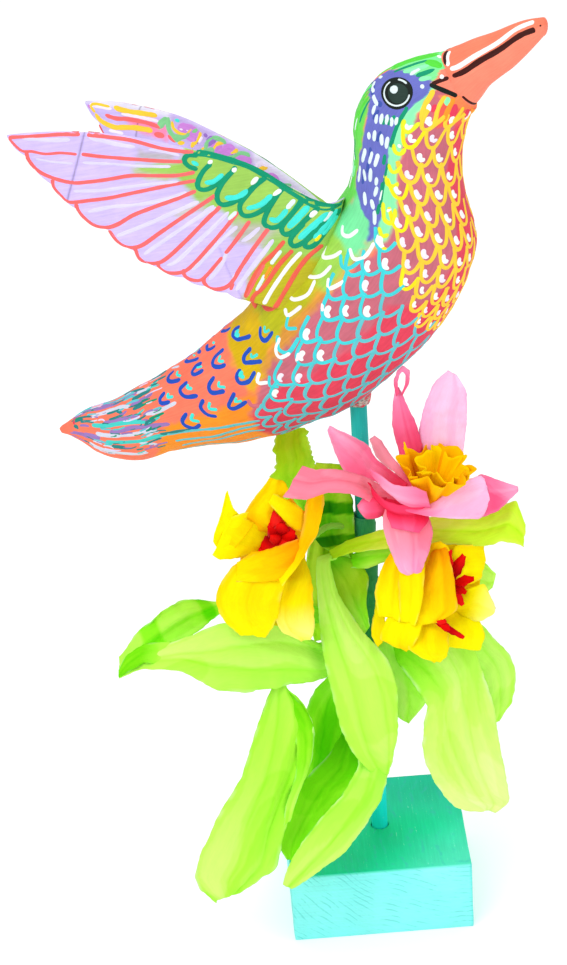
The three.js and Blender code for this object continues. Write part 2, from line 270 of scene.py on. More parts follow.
class Shader:
    """A few short names for building a node material."""

    def __init__(self, name):
        self.material = bpy.data.materials.new(name)
        self.material.use_nodes = True
        self.tree = self.material.node_tree
        self.tree.nodes.clear()
        out = self.tree.nodes.new("ShaderNodeOutputMaterial")
        self.surface = self.tree.nodes.new("ShaderNodeBsdfPrincipled")
        self.feed(out.inputs["Surface"], self.surface.outputs[0])

    def feed(self, socket, value):
        """Links a socket to another node's output, or sets it to a number or a colour."""
        if isinstance(value, bpy.types.NodeSocket):
            self.tree.links.new(value, socket)
        elif socket.type == "RGBA":
            socket.default_value = (*value, 1)
        else:
            socket.default_value = value

    def node(self, kind, **inputs):
        made = self.tree.nodes.new("ShaderNode" + kind)
        for key, value in inputs.items():
            self.feed(made.inputs[key], value)
        return made

    def attribute(self, name, output):
        made = self.tree.nodes.new("ShaderNodeAttribute")
        made.attribute_name = name
        return made.outputs[output]

    def place(self):
        return self.tree.nodes.new("ShaderNodeTexCoord").outputs["Object"]

    def speckle(self, vector, stretch, detail=3.0, roughness=0.6):
        """Noise, with so many lumps to each unit of the vector."""
        mapping = self.node("Mapping", Vector=vector, Scale=stretch)
        made = self.node(
            "TexNoise", Vector=mapping.outputs[0], Scale=1.0, Detail=detail, Roughness=roughness
        )
        return made.outputs["Fac"]

    def range(self, value, low, high, to_low, to_high):
        made = self.tree.nodes.new("ShaderNodeMapRange")
        for socket, part in zip(made.inputs, (value, low, high, to_low, to_high)):
            self.feed(socket, part)
        return made.outputs[0]

    def blend(self, factor, a, b):
        made = self.tree.nodes.new("ShaderNodeMix")
        made.data_type = "RGBA"
        for socket, part in zip((made.inputs[0], made.inputs[6], made.inputs[7]), (factor, a, b)):
            self.feed(socket, part)
        return made.outputs[2]

    def math(self, kind, a, b=0.0):
        made = self.tree.nodes.new("ShaderNodeMath")
        made.operation = kind
        self.feed(made.inputs[0], a)
        self.feed(made.inputs[1], b)
        return made.outputs[0]

    def weigh(self, *terms):
        """The sum of a few values, each times its share."""
        parts = [self.math("MULTIPLY", value, share) for value, share in terms]
        total = parts.pop()
        while parts:
            total = self.math("ADD", parts.pop(), total)
        return total

    def painted(self, shade):
        """The colour painted on the points, made darker or lighter."""
        base = self.attribute("paint", "Color")
        return self.node("HueSaturation", Value=shade, Color=base).outputs[0]

    def finish(self, colour, roughness, height, depth, strength, specular):
        bump = self.node("Bump", Strength=strength, Distance=depth, Height=height)
        for name, value in (("Base Color", colour), ("Roughness", roughness),
                            ("Normal", bump.outputs[0]), ("Specular IOR Level", specular)):
            self.feed(self.surface.inputs[name], value)
        return self.material


def brushed_paint(name, colour=None, light=None, streaks=(0.10, 1.6, 1.0)):
    """Acrylic paint put on with a bristle brush: streaks along the stroke, dry and wet spots.
    With no colour it takes the colour painted on the points."""
    s = Shader(name)
    brush = s.attribute("brush", "Vector")
    place = s.place()
    streak = s.speckle(brush, streaks, 4.0, 0.65)
    mottle = s.speckle(place, (90, 90, 90), 4.0, 0.6)
    grain = s.speckle(place, (1400, 1400, 1400), 2.0, 0.6)
    tone = s.weigh((streak, 0.65), (mottle, 0.35))
    if colour is None:
        mixed = s.painted(s.range(tone, 0.32, 0.68, 0.84, 1.10))
    else:
        light = np.clip(colour * 1.14 + 0.008, 0, 1) if light is None else light
        mixed = s.blend(s.range(tone, 0.3, 0.725, 0.0, 1.0), colour * 0.86, light)
    rough = s.range(mottle, 0.3, 0.7, 0.5, 0.72)
    height = s.weigh((streak, 0.8), (grain, 0.2))
    return s.finish(mixed, rough, height, 0.0004, 0.55, 0.14)


def crepe_paper(name):
    """Crepe paper in the colour painted on the points: close fine wrinkles along the grain,
    softer puckers, and fibres."""
    s = Shader(name)
    brush = s.attribute("brush", "Vector")
    wrinkle = s.speckle(brush, (0.16, 2.3, 1.0), 3.0, 0.7)
    pucker = s.speckle(brush, (0.08, 0.42, 1.0), 3.0, 0.6)
    fibre = s.speckle(s.place(), (900, 900, 900), 2.0, 0.6)
    tone = s.painted(s.range(s.weigh((wrinkle, 0.5), (pucker, 0.5)), 0.34, 0.64, 0.94, 1.04))
    rough = s.range(fibre, 0.3, 0.7, 0.72, 0.92)
    height = s.weigh((wrinkle, 0.75), (pucker, 0.7), (fibre, 0.12))
    return s.finish(tone, rough, height, 0.0006, 0.35, 0.05)


# ---------------------------------------------------------------------------
# Bird: body and beak surfaces
# ---------------------------------------------------------------------------

# Back edge x, z, belly edge x, z, and half the width, from the tail to the beak.
BODY = np.array([
    [-149, 247, -148, 243.5, 3],
    [-137, 256, -140, 240.5, 6],
    [-121, 263, -127, 234, 11],
    [-108, 271.5, -107.6, 233.6, 14],
    [-96, 279, -92.5, 240, 15.6],
    [-81, 290, -74, 245, 19],
    [-71, 299, -55, 249, 22],
    [-58, 311, -34.5, 256, 25],
    [-51, 318, -22, 263, 27],
    [-38, 336, -2, 273, 31],
    [-22, 354, 19.5, 292, 31.5],
    [-9, 369, 38, 312.5, 30],
    [-1, 380, 52, 336, 28],
    [2.5, 387, 58, 357, 26],
    [4.5, 396, 54, 381, 22],
    [5, 404, 53, 396, 21.4],
    [5, 413, 55, 410, 21.4],
    [7, 421, 58, 419, 21],
    [12, 430, 60, 421.5, 19.5],
    [20, 437.5, 60.5, 422.5, 17],
    [32, 443.5, 60.5, 423.5, 14],
    [47, 448, 60, 424.5, 10.6],
])
BEAK = np.array([
    [44.5, 446.5, 58.5, 423.6, 9.8],
    [47.5, 448.3, 60.5, 424.8, 10.4],
    [58, 453.5, 68, 434.5, 9],
    [70, 458.5, 77.5, 442.5, 7],
    [81, 463.5, 85.5, 450.5, 5],
    [91, 466, 91.5, 457.5, 3.2],
])
NEAR, FAR = 1, -1


def section_point(table, k, angle):
    """A point of an elliptical section: angle 0 at the back, 90 on the near side, 180 below."""
    row = spline(table, k)
    a = np.radians(angle)
    middle = (row[:, 0:2] + row[:, 2:4]) / 2
    up = (row[:, 0:2] - row[:, 2:4]) / 2
    flat = middle + up * np.cos(a)[:, None]
    return np.stack([flat[:, 0], -row[:, 4] * np.sin(a), flat[:, 1]], 1)


def normals(place, a, b, da, db, turn):
    """Unit normals of a surface place(a, b), by differences."""
    along = place(a + da, b) - place(a - da, b)
    across = place(a, b + db) - place(a, b - db)
    return unit(np.cross(along, across)) * turn


def smooth_body(k, angle):
    return section_point(BODY, k, angle)


def body_point(k, angle):
    """The body's lumpy hand-pasted surface, in the figure's frame."""
    k, angle = np.asarray(k, float), np.asarray(angle, float)
    p = smooth_body(k, angle)
    n = normals(smooth_body, k, angle, 0.02, 0.5, 1)
    lumps = 0.45 * noise(p, 17) + 0.22 * noise(p, 7, 3.1) + 0.07 * noise(p, 2.6, 8.2)
    ease = ramp(k, 0.0, 0.6)
    return from_bird(p - n * (lumps * ease)[:, None])


def mouth_angle(k):
    """Where the gap between the halves of the beak runs."""
    return np.interp(k, [0, 1.7, 3.1, 4.0, 4.7], [70, 79, 75, 70, 74])


def beak_point(k, angle):
    """The beak's surface, with a soft groove along the gap of the mouth."""
    p = section_point(BEAK, np.asarray(k, float), np.asarray(angle, float))
    middle = spline(BEAK, k)
    hub = np.stack([(middle[:, 0] + middle[:, 2]) / 2, middle[:, 0] * 0,
                    (middle[:, 1] + middle[:, 3]) / 2], 1)
    gap = np.exp(-((np.abs(angle) - mouth_angle(k)) / 5.0) ** 2)
    gap = gap * ramp(k, 0.6, 1.2) * ramp(5 - k, 0.15, 0.5)
    cheek = 1 + 0.03 * noise(p, 9, 4.4) - 0.07 * gap
    return from_bird(hub + (p - hub) * cheek[:, None])


# Distance from the tail along the body at each angle, for spacing strokes in millimetres.
ALONG = np.linspace(0, 21, 421)
ANGLE_STEP = 15
ARC = {angle: distances(body_point(ALONG, np.full(len(ALONG), float(angle))))
       for angle in range(0, 181, ANGLE_STEP)}


def k_after(k, angle, distance):
    """The section that lies so many millimetres further towards the head."""
    low = int(np.clip(abs(angle) // ANGLE_STEP * ANGLE_STEP, 0, 180 - ANGLE_STEP))
    table = mix(ARC[low], ARC[low + ANGLE_STEP], (abs(angle) - low) / ANGLE_STEP)
    return float(np.interp(np.interp(k, ALONG, table) + distance, table, ALONG))


def degrees_for(k, width):
    """How many degrees round the body so many millimetres are."""
    row = spline(BODY, np.array([float(k)]))[0]
    depth = math.hypot(row[0] - row[2], row[1] - row[3]) / 2
    return math.degrees(width / ((depth + row[4]) / 2))


# ---------------------------------------------------------------------------
# Brush strokes
# ---------------------------------------------------------------------------


class RoundSurface:
    """The body or the beak, by section number and angle."""

    step = (0.02, 0.4)

    def __init__(self, place):
        self.place = place

    def at(self, a, b):
        points = self.place(a, b)
        return points, normals(self.place, a, b, *self.step, -1)

    def frame(self, a, b):
        da, db = self.step
        along = (self.place(a + da, b) - self.place(a - da, b)) / (2 * da)
        across = (self.place(a, b + db) - self.place(a, b - db)) / (2 * db)
        return along, across

    def length(self, path):
        return self.place(path[:, 0], path[:, 1])


class FlatSurface:
    """What lies under a wing's plane: the wing itself, and the body where it has ended."""

    def __init__(self, wing, face, tree):
        self.origin, self.out, self.down, self.normal = wing
        self.face, self.tree = face, tree

    def at(self, a, b):
        flat = self.origin + np.outer(a, self.out) + np.outer(b, self.down)
        towards = self.normal * self.face
        points = flat.copy()
        aim = Vector(-towards)
        for i, start in enumerate(flat + towards * 45):
            hit = self.tree.ray_cast(Vector(start), aim, 90)
            if hit[0] is not None:
                points[i] = hit[0]
        return points, np.tile(towards, (len(points), 1))

    def frame(self, a, b):
        return np.tile(self.out, (len(a), 1)), np.tile(self.down, (len(a), 1))

    def length(self, path):
        return path


def half_round(s, total, lead, tail):
    """A stroke's width along its length: rounded or drawn out at its two ends."""
    start = np.clip(s / max(lead, 1e-6), 0, 1)
    stop = np.clip((total - s) / max(tail, 1e-6), 0, 1)
    return np.sqrt(1 - (1 - start) ** 2) * np.sqrt(1 - (1 - stop) ** 2)


STROKE_STEP = 0.9
stroke_count = 0


def stroke(build, surface, path, width, height=0.22, ends=(0.5, 0.5), uneven=0.10):
    """One stroke of thick paint: a low ridge that follows the surface and sinks into it at its rim."""
    global stroke_count
    stroke_count += 1
    shift = stroke_count * 3.17
    fine = fine_curve(path, 16)
    lengths = distances(surface.length(fine))
    total = lengths[-1]
    lead, tail = ends[0] * width, ends[1] * width
    count = max(4, int(round(total / STROKE_STEP)) + 1)
    round_off = np.array([0.0, 0.04, 0.13, 0.3, 0.55, 0.8])
    s = np.r_[np.linspace(0, total, count), round_off * lead, total - round_off * tail]
    s = np.unique(np.round(np.clip(s, 0, total), 3))
    a, b = np.interp(s, lengths, fine[:, 0]), np.interp(s, lengths, fine[:, 1])
    along, across = surface.frame(a, b)
    da, db = np.gradient(a, s), np.gradient(b, s)
    tangent = unit(along * da[:, None] + across * db[:, None])
    up = unit(np.cross(along, across))
    side = unit(np.cross(up, tangent))
    g11, g12 = (along * along).sum(1), (along * across).sum(1)
    g22 = (across * across).sum(1)
    r1, r2 = (along * side).sum(1), (across * side).sum(1)
    det = g11 * g22 - g12 ** 2
    pa, pb = (g22 * r1 - g12 * r2) / det, (g11 * r2 - g12 * r1) / det
    profile = half_round(s, total, lead, tail)
    body = 1 + uneven * noise1(s, 5, shift) + uneven * 0.5 * noise1(s, 1.6, shift)
    half = width / 2 * np.maximum(profile * body, 0.04)
    lanes = 5 if width < 1.4 else 7 if width < 4 else 2 * int(width / 1.3) + 1
    t = np.sin(np.linspace(-math.pi / 2, math.pi / 2, lanes))
    offsets = np.r_[t, 0.55, -0.55]
    ridge = np.r_[np.sqrt(np.maximum(1 - t ** 2, 0)) - 0.06, 0, 0]
    sink = np.r_[t * 0, 1, 1] + np.r_[(np.abs(t) > 0.99) * 0.25, 0, 0]
    aa = a[:, None] + pa[:, None] * half[:, None] * offsets
    bb = b[:, None] + pb[:, None] * half[:, None] * offsets
    points, normal = surface.at(aa.ravel(), bb.ravel())
    lift = height * (0.85 + 0.3 * noise1(s, 3, shift + 9))
    lift = (lift * np.maximum(profile, 0.15))[:, None] * ridge - 0.25 * sink
    points = points + normal * lift.ravel()[:, None]
    rows, columns = len(s), len(offsets)
    brush = np.stack([
        np.repeat(s, columns), (half[:, None] * offsets).ravel(), np.full(rows * columns, shift)
    ], 1)
    build.add(points, tube_faces(rows, columns), brush)


class Strokes:
    """Strokes of many colours on one part of the bird, one piece for each colour."""

    def __init__(self):
        self.builds = {}

    def put(self, colour, surface, path, width, **how):
        stroke(self.builds.setdefault(colour, Build()), surface, path, width, **how)

    def make(self, prefix, slot):
        for colour, build in self.builds.items():
            build.make(f"{prefix}_{colour}", PAINTS[colour], "figure", slot)


# ---------------------------------------------------------------------------
# Colours
# ---------------------------------------------------------------------------

COLOURS = {
    "white": (246, 250, 248),
    "pale": (222, 238, 240),
    "lilac_white": (238, 230, 252),
    "lavender": (217, 210, 243),
    "mist": (206, 212, 228),
    "sea": (66, 204, 194),
    "plum": (150, 118, 184),
    "blue": (24, 78, 186),
    "deep_blue": (60, 84, 168),
    "turquoise": (64, 226, 214),
    "aqua": (64, 210, 216),
    "dull_aqua": (96, 194, 204),
    "teal": (0, 148, 108),
    "deep_teal": (38, 128, 128),
    "green": (84, 214, 60),
    "mint": (140, 244, 176),
    "yellow": (255, 206, 56),
    "bright_yellow": (255, 226, 20),
    "lime": (228, 236, 40),
    "orange": (255, 150, 40),
    "coral": (255, 106, 106),
    "brick": (232, 96, 76),
    "red": (228, 62, 90),
    "rose": (206, 108, 122),
    "purple": (150, 112, 196),
    "violet": (108, 112, 190),
    "magenta": (203, 132, 216),
    "ink": (12, 24, 18),
    "brown": (62, 14, 8),
}
PAINTS = {name: brushed_paint(f"paint_{name}", rgb(*c)) for name, c in COLOURS.items()}

# ---------------------------------------------------------------------------
# Bird: painted body
# ---------------------------------------------------------------------------

# Fields of colour over the body, in the order they were painted: a colour, how soft the
# rim is in millimetres, and an outline by section number and angle from the back.
FIELDS = [
    ((255, 148, 34), 4, [(4.2, 96), (6, 91), (7.3, 88), (8.2, 96), (7.6, 108), (7.2, 140),
                         (7, 185), (3.2, 185), (3.9, 120)]),
    ((214, 176, 8), 6, [(6.9, -9), (8.4, -9), (8.8, 40), (8.8, 66), (8.4, 82), (7.5, 88), (7, 60)]),
    ((184, 186, 26), 6, [(8.4, -9), (10.3, -9), (10.5, 35), (10.7, 55), (10.1, 66), (8.9, 76),
                         (8.6, 40)]),
    ((160, 212, 84), 6, [(10.3, 28), (11.6, 34), (12, 58), (11.4, 68), (10.3, 66)]),
    ((122, 230, 160), 6, [(11.3, 26), (13.3, 30), (13.1, 62), (12.3, 72), (11.5, 70), (11.3, 45)]),
    ((104, 216, 84), 4, [(10.1, -9), (18.4, -9), (18.2, 15), (17.9, 33), (17.2, 46), (16.2, 50),
                         (15, 42), (13.9, 32), (13.1, 38), (12.2, 30), (11, 22), (10.2, 12)]),
    ((128, 238, 150), 3, [(19, -9), (21.5, -9), (21.5, 60), (20.3, 68), (19.9, 50), (19.6, 26)]),
    ((140, 244, 176), 1.5, [(12.3, 68), (13.6, 70), (15, 79), (16.5, 84), (18.2, 84), (20.2, 70),
                            (20.3, 84), (18.8, 95), (17.2, 101), (16, 97), (14.6, 92), (13, 87),
                            (12, 80)]),
    ((218, 150, 60), 4, [(8.2, 74), (9.2, 62), (10.3, 62), (10.4, 70), (9.2, 80), (8.2, 88)]),
    ((198, 106, 122), 3, [(8.0, 84), (9, 74), (10.4, 68), (11.4, 70), (12.3, 78), (12.9, 85),
                          (14.6, 92), (16, 97), (17.2, 101), (18.8, 95), (20.2, 84), (20.7, 100),
                          (21.5, 120), (21.5, 185), (6.9, 185), (7.1, 140), (7, 118), (6.8, 104),
                          (7.6, 92)]),
    ((226, 68, 92), 4, [(6.8, 108), (7.6, 99), (8.4, 98), (9.5, 103), (11.3, 109), (11.5, 125),
                        (12, 140), (14, 150), (17, 150), (18, 185), (6.8, 185)]),
    ((240, 96, 84), 3, [(17, 128), (18.5, 112), (20, 103), (21.5, 104), (21.5, 185), (16.8, 185)]),
    ((255, 140, 84), 3, [(20.1, 96), (21.5, 96), (21.5, 185), (19.9, 185), (19.8, 130)]),
    ((104, 110, 192), 0.8, [(18.4, 3), (19.1, 4), (19.65, 26), (19.95, 45), (20.35, 66),
                            (20.2, 76), (19.8, 84), (18.9, 87), (18.2, 85), (16.5, 85), (15, 80),
                            (13.6, 72), (12.5, 70), (12, 67), (12.7, 60), (13.2, 36), (13.9, 31),
                            (15, 41), (16.1, 50), (17.2, 47), (17.9, 33), (18.15, 14)]),
    ((255, 140, 115), 0.6, [(20.25, 72), (20.33, 82), (20.53, 96), (20.75, 109), (21.5, 112),
                            (21.5, 48), (20.78, 52), (20.62, 62)]),
]
CORAL_GROUND = (255, 124, 96)
SIDE_ARC = ARC[90]
MM_PER_DEGREE = 0.45


def inside(x, y, outline):
    """Distance into a closed outline, in the outline's units: above 0 inside."""
    best = np.full(len(x), 1e9)
    within = np.zeros(len(x), bool)
    for (x0, y0), (x1, y1) in zip(outline, outline[1:] + outline[:1]):
        dx, dy = x1 - x0, y1 - y0
        t = np.clip(((x - x0) * dx + (y - y0) * dy) / (dx * dx + dy * dy + 1e-12), 0, 1)
        best = np.minimum(best, np.hypot(x - x0 - t * dx, y - y0 - t * dy))
        crosses = (y0 > y) != (y1 > y)
        with np.errstate(divide="ignore", invalid="ignore"):
            at = x0 + (y - y0) * dx / dy
        within ^= crosses & (x < at)
    return np.where(within, best, -best)


def ground_colour(k, angle, points):
    """The painted ground of the body at each point."""
    x = np.interp(k, ALONG, SIDE_ARC) + 1.6 * noise(points, 9, 5.5) + 0.5 * noise(points, 2.5, 1.5)
    y = np.abs(angle) * MM_PER_DEGREE + 1.6 * noise(points, 9, 7.5) + 0.5 * noise(points, 2.5, 9.5)
    colour = np.tile(rgb(*CORAL_GROUND), (len(k), 1))
    for paint, soft, outline in FIELDS:
        flat = [(float(np.interp(kk, ALONG, SIDE_ARC)) + max(kk - 21, 0) * 12, aa * MM_PER_DEGREE)
                for kk, aa in outline]
        depth = inside(x, y, flat) + 0.35 * soft * noise(points, 4, 2.2)
        share = ramp(depth, -soft / 2, soft / 2)[:, None]
        colour = mix(colour, rgb(*paint), share)
    patchy = 1 + 0.07 * noise(points, 12, 6.1) + 0.05 * noise(points, 4, 3.3)
    return np.clip(colour * patchy[:, None], 0, 1)


def painted_skin():
    """The whole body skin, finer than its strokes, with a rounded tail end."""
    rows, columns = 430, 250
    last = len(BODY) - 1
    even = np.linspace(0, SIDE_ARC[-1], rows)
    k = np.interp(even, SIDE_ARC, ALONG)
    angle = np.linspace(-180, 180, columns, endpoint=False)
    kk, aa = np.repeat(k, columns), np.tile(angle, rows)
    points = body_point(kk, aa)
    colour = ground_colour(kk, aa, points)
    brush = np.stack([np.repeat(even, columns), aa * MM_PER_DEGREE, aa * 0], 1)
    build = Build()
    caps = []
    for row, reach, sizes in ((0, -1.6, (0.92, 0.7, 0.35)), (last, 0.6, (0.9, 0.6, 0.3))):
        ring = points[:columns] if row == 0 else points[-columns:]
        centre = ring.mean(0)
        for i, size in enumerate(sizes):
            push = np.array([math.cos(BIRD_TURN), math.sin(BIRD_TURN), 0])
            drop = reach * (1 - math.sqrt(1 - (1 - size) ** 2 * 0.9)) * 1.6 + reach * 0.2 * (i + 1)
            caps.append((row, centre + (ring - centre) * size + push * drop))
    first = [c for r, c in caps if r == 0][::-1]
    final = [c for r, c in caps if r == last]
    stack = np.concatenate(first + [points] + final)
    tone = np.concatenate([colour[:columns]] * 3 + [colour] + [colour[-columns:]] * 3)
    lines = np.concatenate([brush[:columns]] * 3 + [brush] + [brush[-columns:]] * 3)
    build.add(stack, tube_faces(rows + 6, columns), lines, tone)
    ground = brushed_paint("paint_body_ground", None, streaks=(0.07, 1.1, 1.0))
    return build.make("body_shell", ground, "figure", "painted_body", ("body_skin", "paper_core"))


body_shell = painted_skin()
BODY_SURFACE = RoundSurface(body_point)
body_paint = Strokes()


def both_sides(colour, path, width, **how):
    """The same stroke on the near side and on the far side of the body."""
    for side in (NEAR, FAR):
        turned = [(k, a * side) for k, a in path]
        body_paint.put(colour, BODY_SURFACE, turned, width, **how)


def jitter(amount):
    return float(rng.uniform(-amount, amount))


def scale_arc(colour, k, angle, across, reach, width, roundness):
    """One painted scale: an arc that bulges towards the tail and reaches so many sections up."""
    turn = degrees_for(k, across) / 2
    path = [(k + reach * abs(t) ** roundness, angle + turn * t * 1.02) for t in np.linspace(-1, 1, 7)]
    body_paint.put(colour, BODY_SURFACE, path, width, height=0.26, ends=(0.3, 0.3))


def white_dab(k, angle, size, side):
    """A thick white comma, as in the hollow of each scale."""
    wide = degrees_for(k, size)

    def at(along, across):
        return k_after(k, abs(angle), along * size), angle + across * wide * side

    colour = "white" if rng.random() < 0.7 else "lilac_white"
    path = [at(0.85, -0.40), at(0.15, -0.46), at(-0.34, -0.12), at(-0.12, rng.uniform(0.25, 0.6))]
    body_paint.put(colour, BODY_SURFACE, path, size * rng.uniform(0.78, 1.0), height=0.34,
                   ends=(0.6, 0.9), uneven=0.16)


def scale_field(colour, dab, start_k, end_k, middle, pitch, across, angles, width, roundness,
                allowed):
    """Rows of scales, each row shifted half a scale, over the angles given."""
    k, row = start_k, 0
    while k < end_k:
        size = float(np.interp(k, (start_k, start_k + 1.1), (0.72, 1.0)))
        turn = degrees_for(k, across * size)
        step = k_after(k, middle, pitch * size) - k
        for side in (NEAR, FAR):
            angle = angles[0] + (turn / 2 if row % 2 else 0)
            while angle < angles[1]:
                kk = k_after(k, middle, jitter(0.55))
                aa = (angle + jitter(1.4)) * side
                if allowed(kk, abs(aa)):
                    shade = colour(kk, abs(aa))
                    scale_arc(shade, kk, aa, across * size * rng.uniform(0.94, 1.04),
                              step * rng.uniform(1.0, 1.18), width * rng.uniform(0.88, 1.12),
                              roundness)
                    if dab(kk, abs(aa)):
                        white_dab(kk + step * 0.42, aa + jitter(1.5), across * size * 0.29, side)
                angle += turn
        k = k + step
        row += 1


BREAST_RIM = ([10.9, 11.2, 11.6, 12, 13, 14.6, 16, 17.2, 18.5, 20],
              [190, 128, 108, 92, 84, 91, 96, 100, 98, 90])


def breast_rim(k):
    """Angle at which the yellow scales begin."""
    return np.interp(k, BREAST_RIM[0], BREAST_RIM[1])


def belly_rim(k):
    """Angle at which the turquoise scales begin."""
    return np.interp(k, [6.8, 7.5, 8.5, 9.5, 11, 12.2], [104, 96, 82, 72, 66, 74])


def breast_scales():
    scale_field(
        lambda k, a: "bright_yellow" if a < breast_rim(k) + 9 else "yellow",
        lambda k, a: a < 172,
        11.2, 17.5, 115, 8.8, 9.6, (80, 181), 2.0, 2.7,
        lambda k, a: a > breast_rim(k) + 2,
    )


def belly_scales():
    scale_field(
        lambda k, a: "aqua" if a < 102 else "dull_aqua",
        lambda k, a: 70 < a < 104 and k > 7.8 and rng.random() < 0.8,
        7.0, 12.2, 110, 8.4, 11.0, (60, 181), 1.9, 2.4,
        lambda k, a: belly_rim(k) < a < breast_rim(k) - 2,
    )


belly_scales()
breast_scales()

# Short curved feather marks on the rump, each with a turquoise dab in its hollow.
BLUE_MARKS = [
    [(4.55, 17), (4.4, 22), (4.4, 30), (4.55, 36), (4.85, 40)],
    [(4.32, 46), (4.15, 52), (4.2, 60), (4.5, 63)],
    [(5.15, 48), (4.85, 52), (4.9, 60), (5.1, 66), (5.55, 69)],
    [(5.9, 36), (5.6, 34), (5.35, 38), (5.5, 44), (5.95, 45)],
    [(6.75, 38), (6.4, 39), (6.3, 46), (6.5, 52), (6.75, 54)],
    [(6.3, 58), (6.05, 64), (6.1, 72), (6.5, 76)],
    [(7.75, 25), (7.3, 24), (7.22, 30), (7.5, 37), (7.9, 41), (8.25, 46)],
    [(8.62, 47), (8.55, 54), (8.65, 60), (8.92, 59)],
    [(8.15, 55), (7.8, 56), (7.65, 61), (7.95, 65), (8.35, 71)],
    [(7.3, 65), (7.0, 69), (7.05, 76), (7.5, 78), (8.0, 74)],
    [(5.75, 75), (5.55, 82), (5.7, 92), (6.0, 97)],
    [(5.0, 84), (4.8, 92), (4.85, 100), (5.1, 106), (5.35, 102)],
    [(6.75, 81), (6.45, 90), (6.55, 95), (7.0, 93)],
    [(4.85, 2), (4.95, 12), (5.3, 20), (5.7, 26)],
    [(5.4, 2), (5.6, 12), (5.75, 18)],
    [(6.0, 10), (6.1, 22), (6.4, 25)],
    [(6.5, 3), (6.7, 12), (7.0, 17)],
]
TURQUOISE_MARKS = [
    ([(4.7, 22), (4.68, 28), (4.85, 35)], 1.5),
    ([(4.45, 50), (4.4, 55), (4.6, 58)], 1.8),
    ([(5.2, 52), (5.12, 55), (5.35, 59)], 1.8),
    ([(5.6, 37), (5.9, 40)], 1.3),
    ([(6.62, 42), (6.52, 46), (6.7, 50)], 1.7),
    ([(6.42, 65), (6.35, 69), (6.55, 73)], 1.6),
    ([(7.65, 27), (7.45, 31), (7.7, 36)], 2.8),
    ([(8.75, 50), (8.7, 54), (8.85, 56)], 1.5),
    ([(8.1, 59), (8.05, 62), (8.3, 64)], 1.5),
    ([(7.35, 67), (7.15, 70), (7.35, 73)], 2.6),
    ([(5.95, 80), (5.85, 86), (6.1, 90)], 1.8),
    ([(5.2, 87), (5.1, 94), (5.35, 99)], 1.8),
    ([(6.75, 86), (6.65, 89), (6.85, 91)], 1.5),
    ([(6.25, 14), (6.35, 20)], 1.4),
    ([(5.15, 3), (5.35, 13)], 1.2),
]
WHITE_MARKS = [
    [(9.85, 38), (9.6, 45), (9.62, 52), (9.85, 57), (10.05, 53)],
    [(10.22, 38), (10.13, 46), (10.33, 54), (10.58, 55)],
    [(10.8, 38), (10.66, 44), (10.84, 51), (11.05, 54)],
    [(11.6, 40), (11.5, 45), (11.62, 52), (11.9, 56)],
    [(11.45, 58), (11.4, 66), (11.6, 72), (11.95, 73)],
    [(10.55, 60), (10.48, 66), (10.78, 71)],
    [(8.95, 66), (8.8, 72), (8.82, 78), (9.0, 80)],
    [(9.38, 52), (9.38, 58), (9.62, 60)],
    [(8.05, 77), (7.9, 83), (8.12, 88)],
    [(10.15, 70), (10.05, 75)],
    [(9.2, 84), (9.1, 88)],
]

# Longer lines near the wing's root: a colour, a width, and the line.
ROOT_MARKS = [
    ("rose", 2.6, [(7.05, 92), (7.08, 99), (7.4, 103)]),
    ("aqua", 2.2, [(9.0, 64), (8.88, 72), (9.05, 79), (9.4, 76)]),
    ("aqua", 1.8, [(9.4, 58), (9.25, 64), (9.45, 70)]),
    ("aqua", 1.9, [(11.15, 55), (11.02, 62), (11.2, 68), (11.6, 71)]),
    ("aqua", 1.7, [(8.35, 84), (8.2, 91), (8.4, 96)]),
]


def rump_marks():
    for path in BLUE_MARKS:
        both_sides("blue", path, 2.3, ends=(0.7, 0.8), uneven=0.18)
    for path, width in TURQUOISE_MARKS:
        both_sides("turquoise", path, width, height=0.3)
    for path in WHITE_MARKS:
        low = min(k for k, a in path)
        deeper = [(low + 1.45 * (k - low), a) for k, a in path]
        both_sides("white", deeper, 2.0, height=0.3, ends=(0.5, 0.8))
    for colour, width, path in ROOT_MARKS:
        both_sides(colour, path, width)


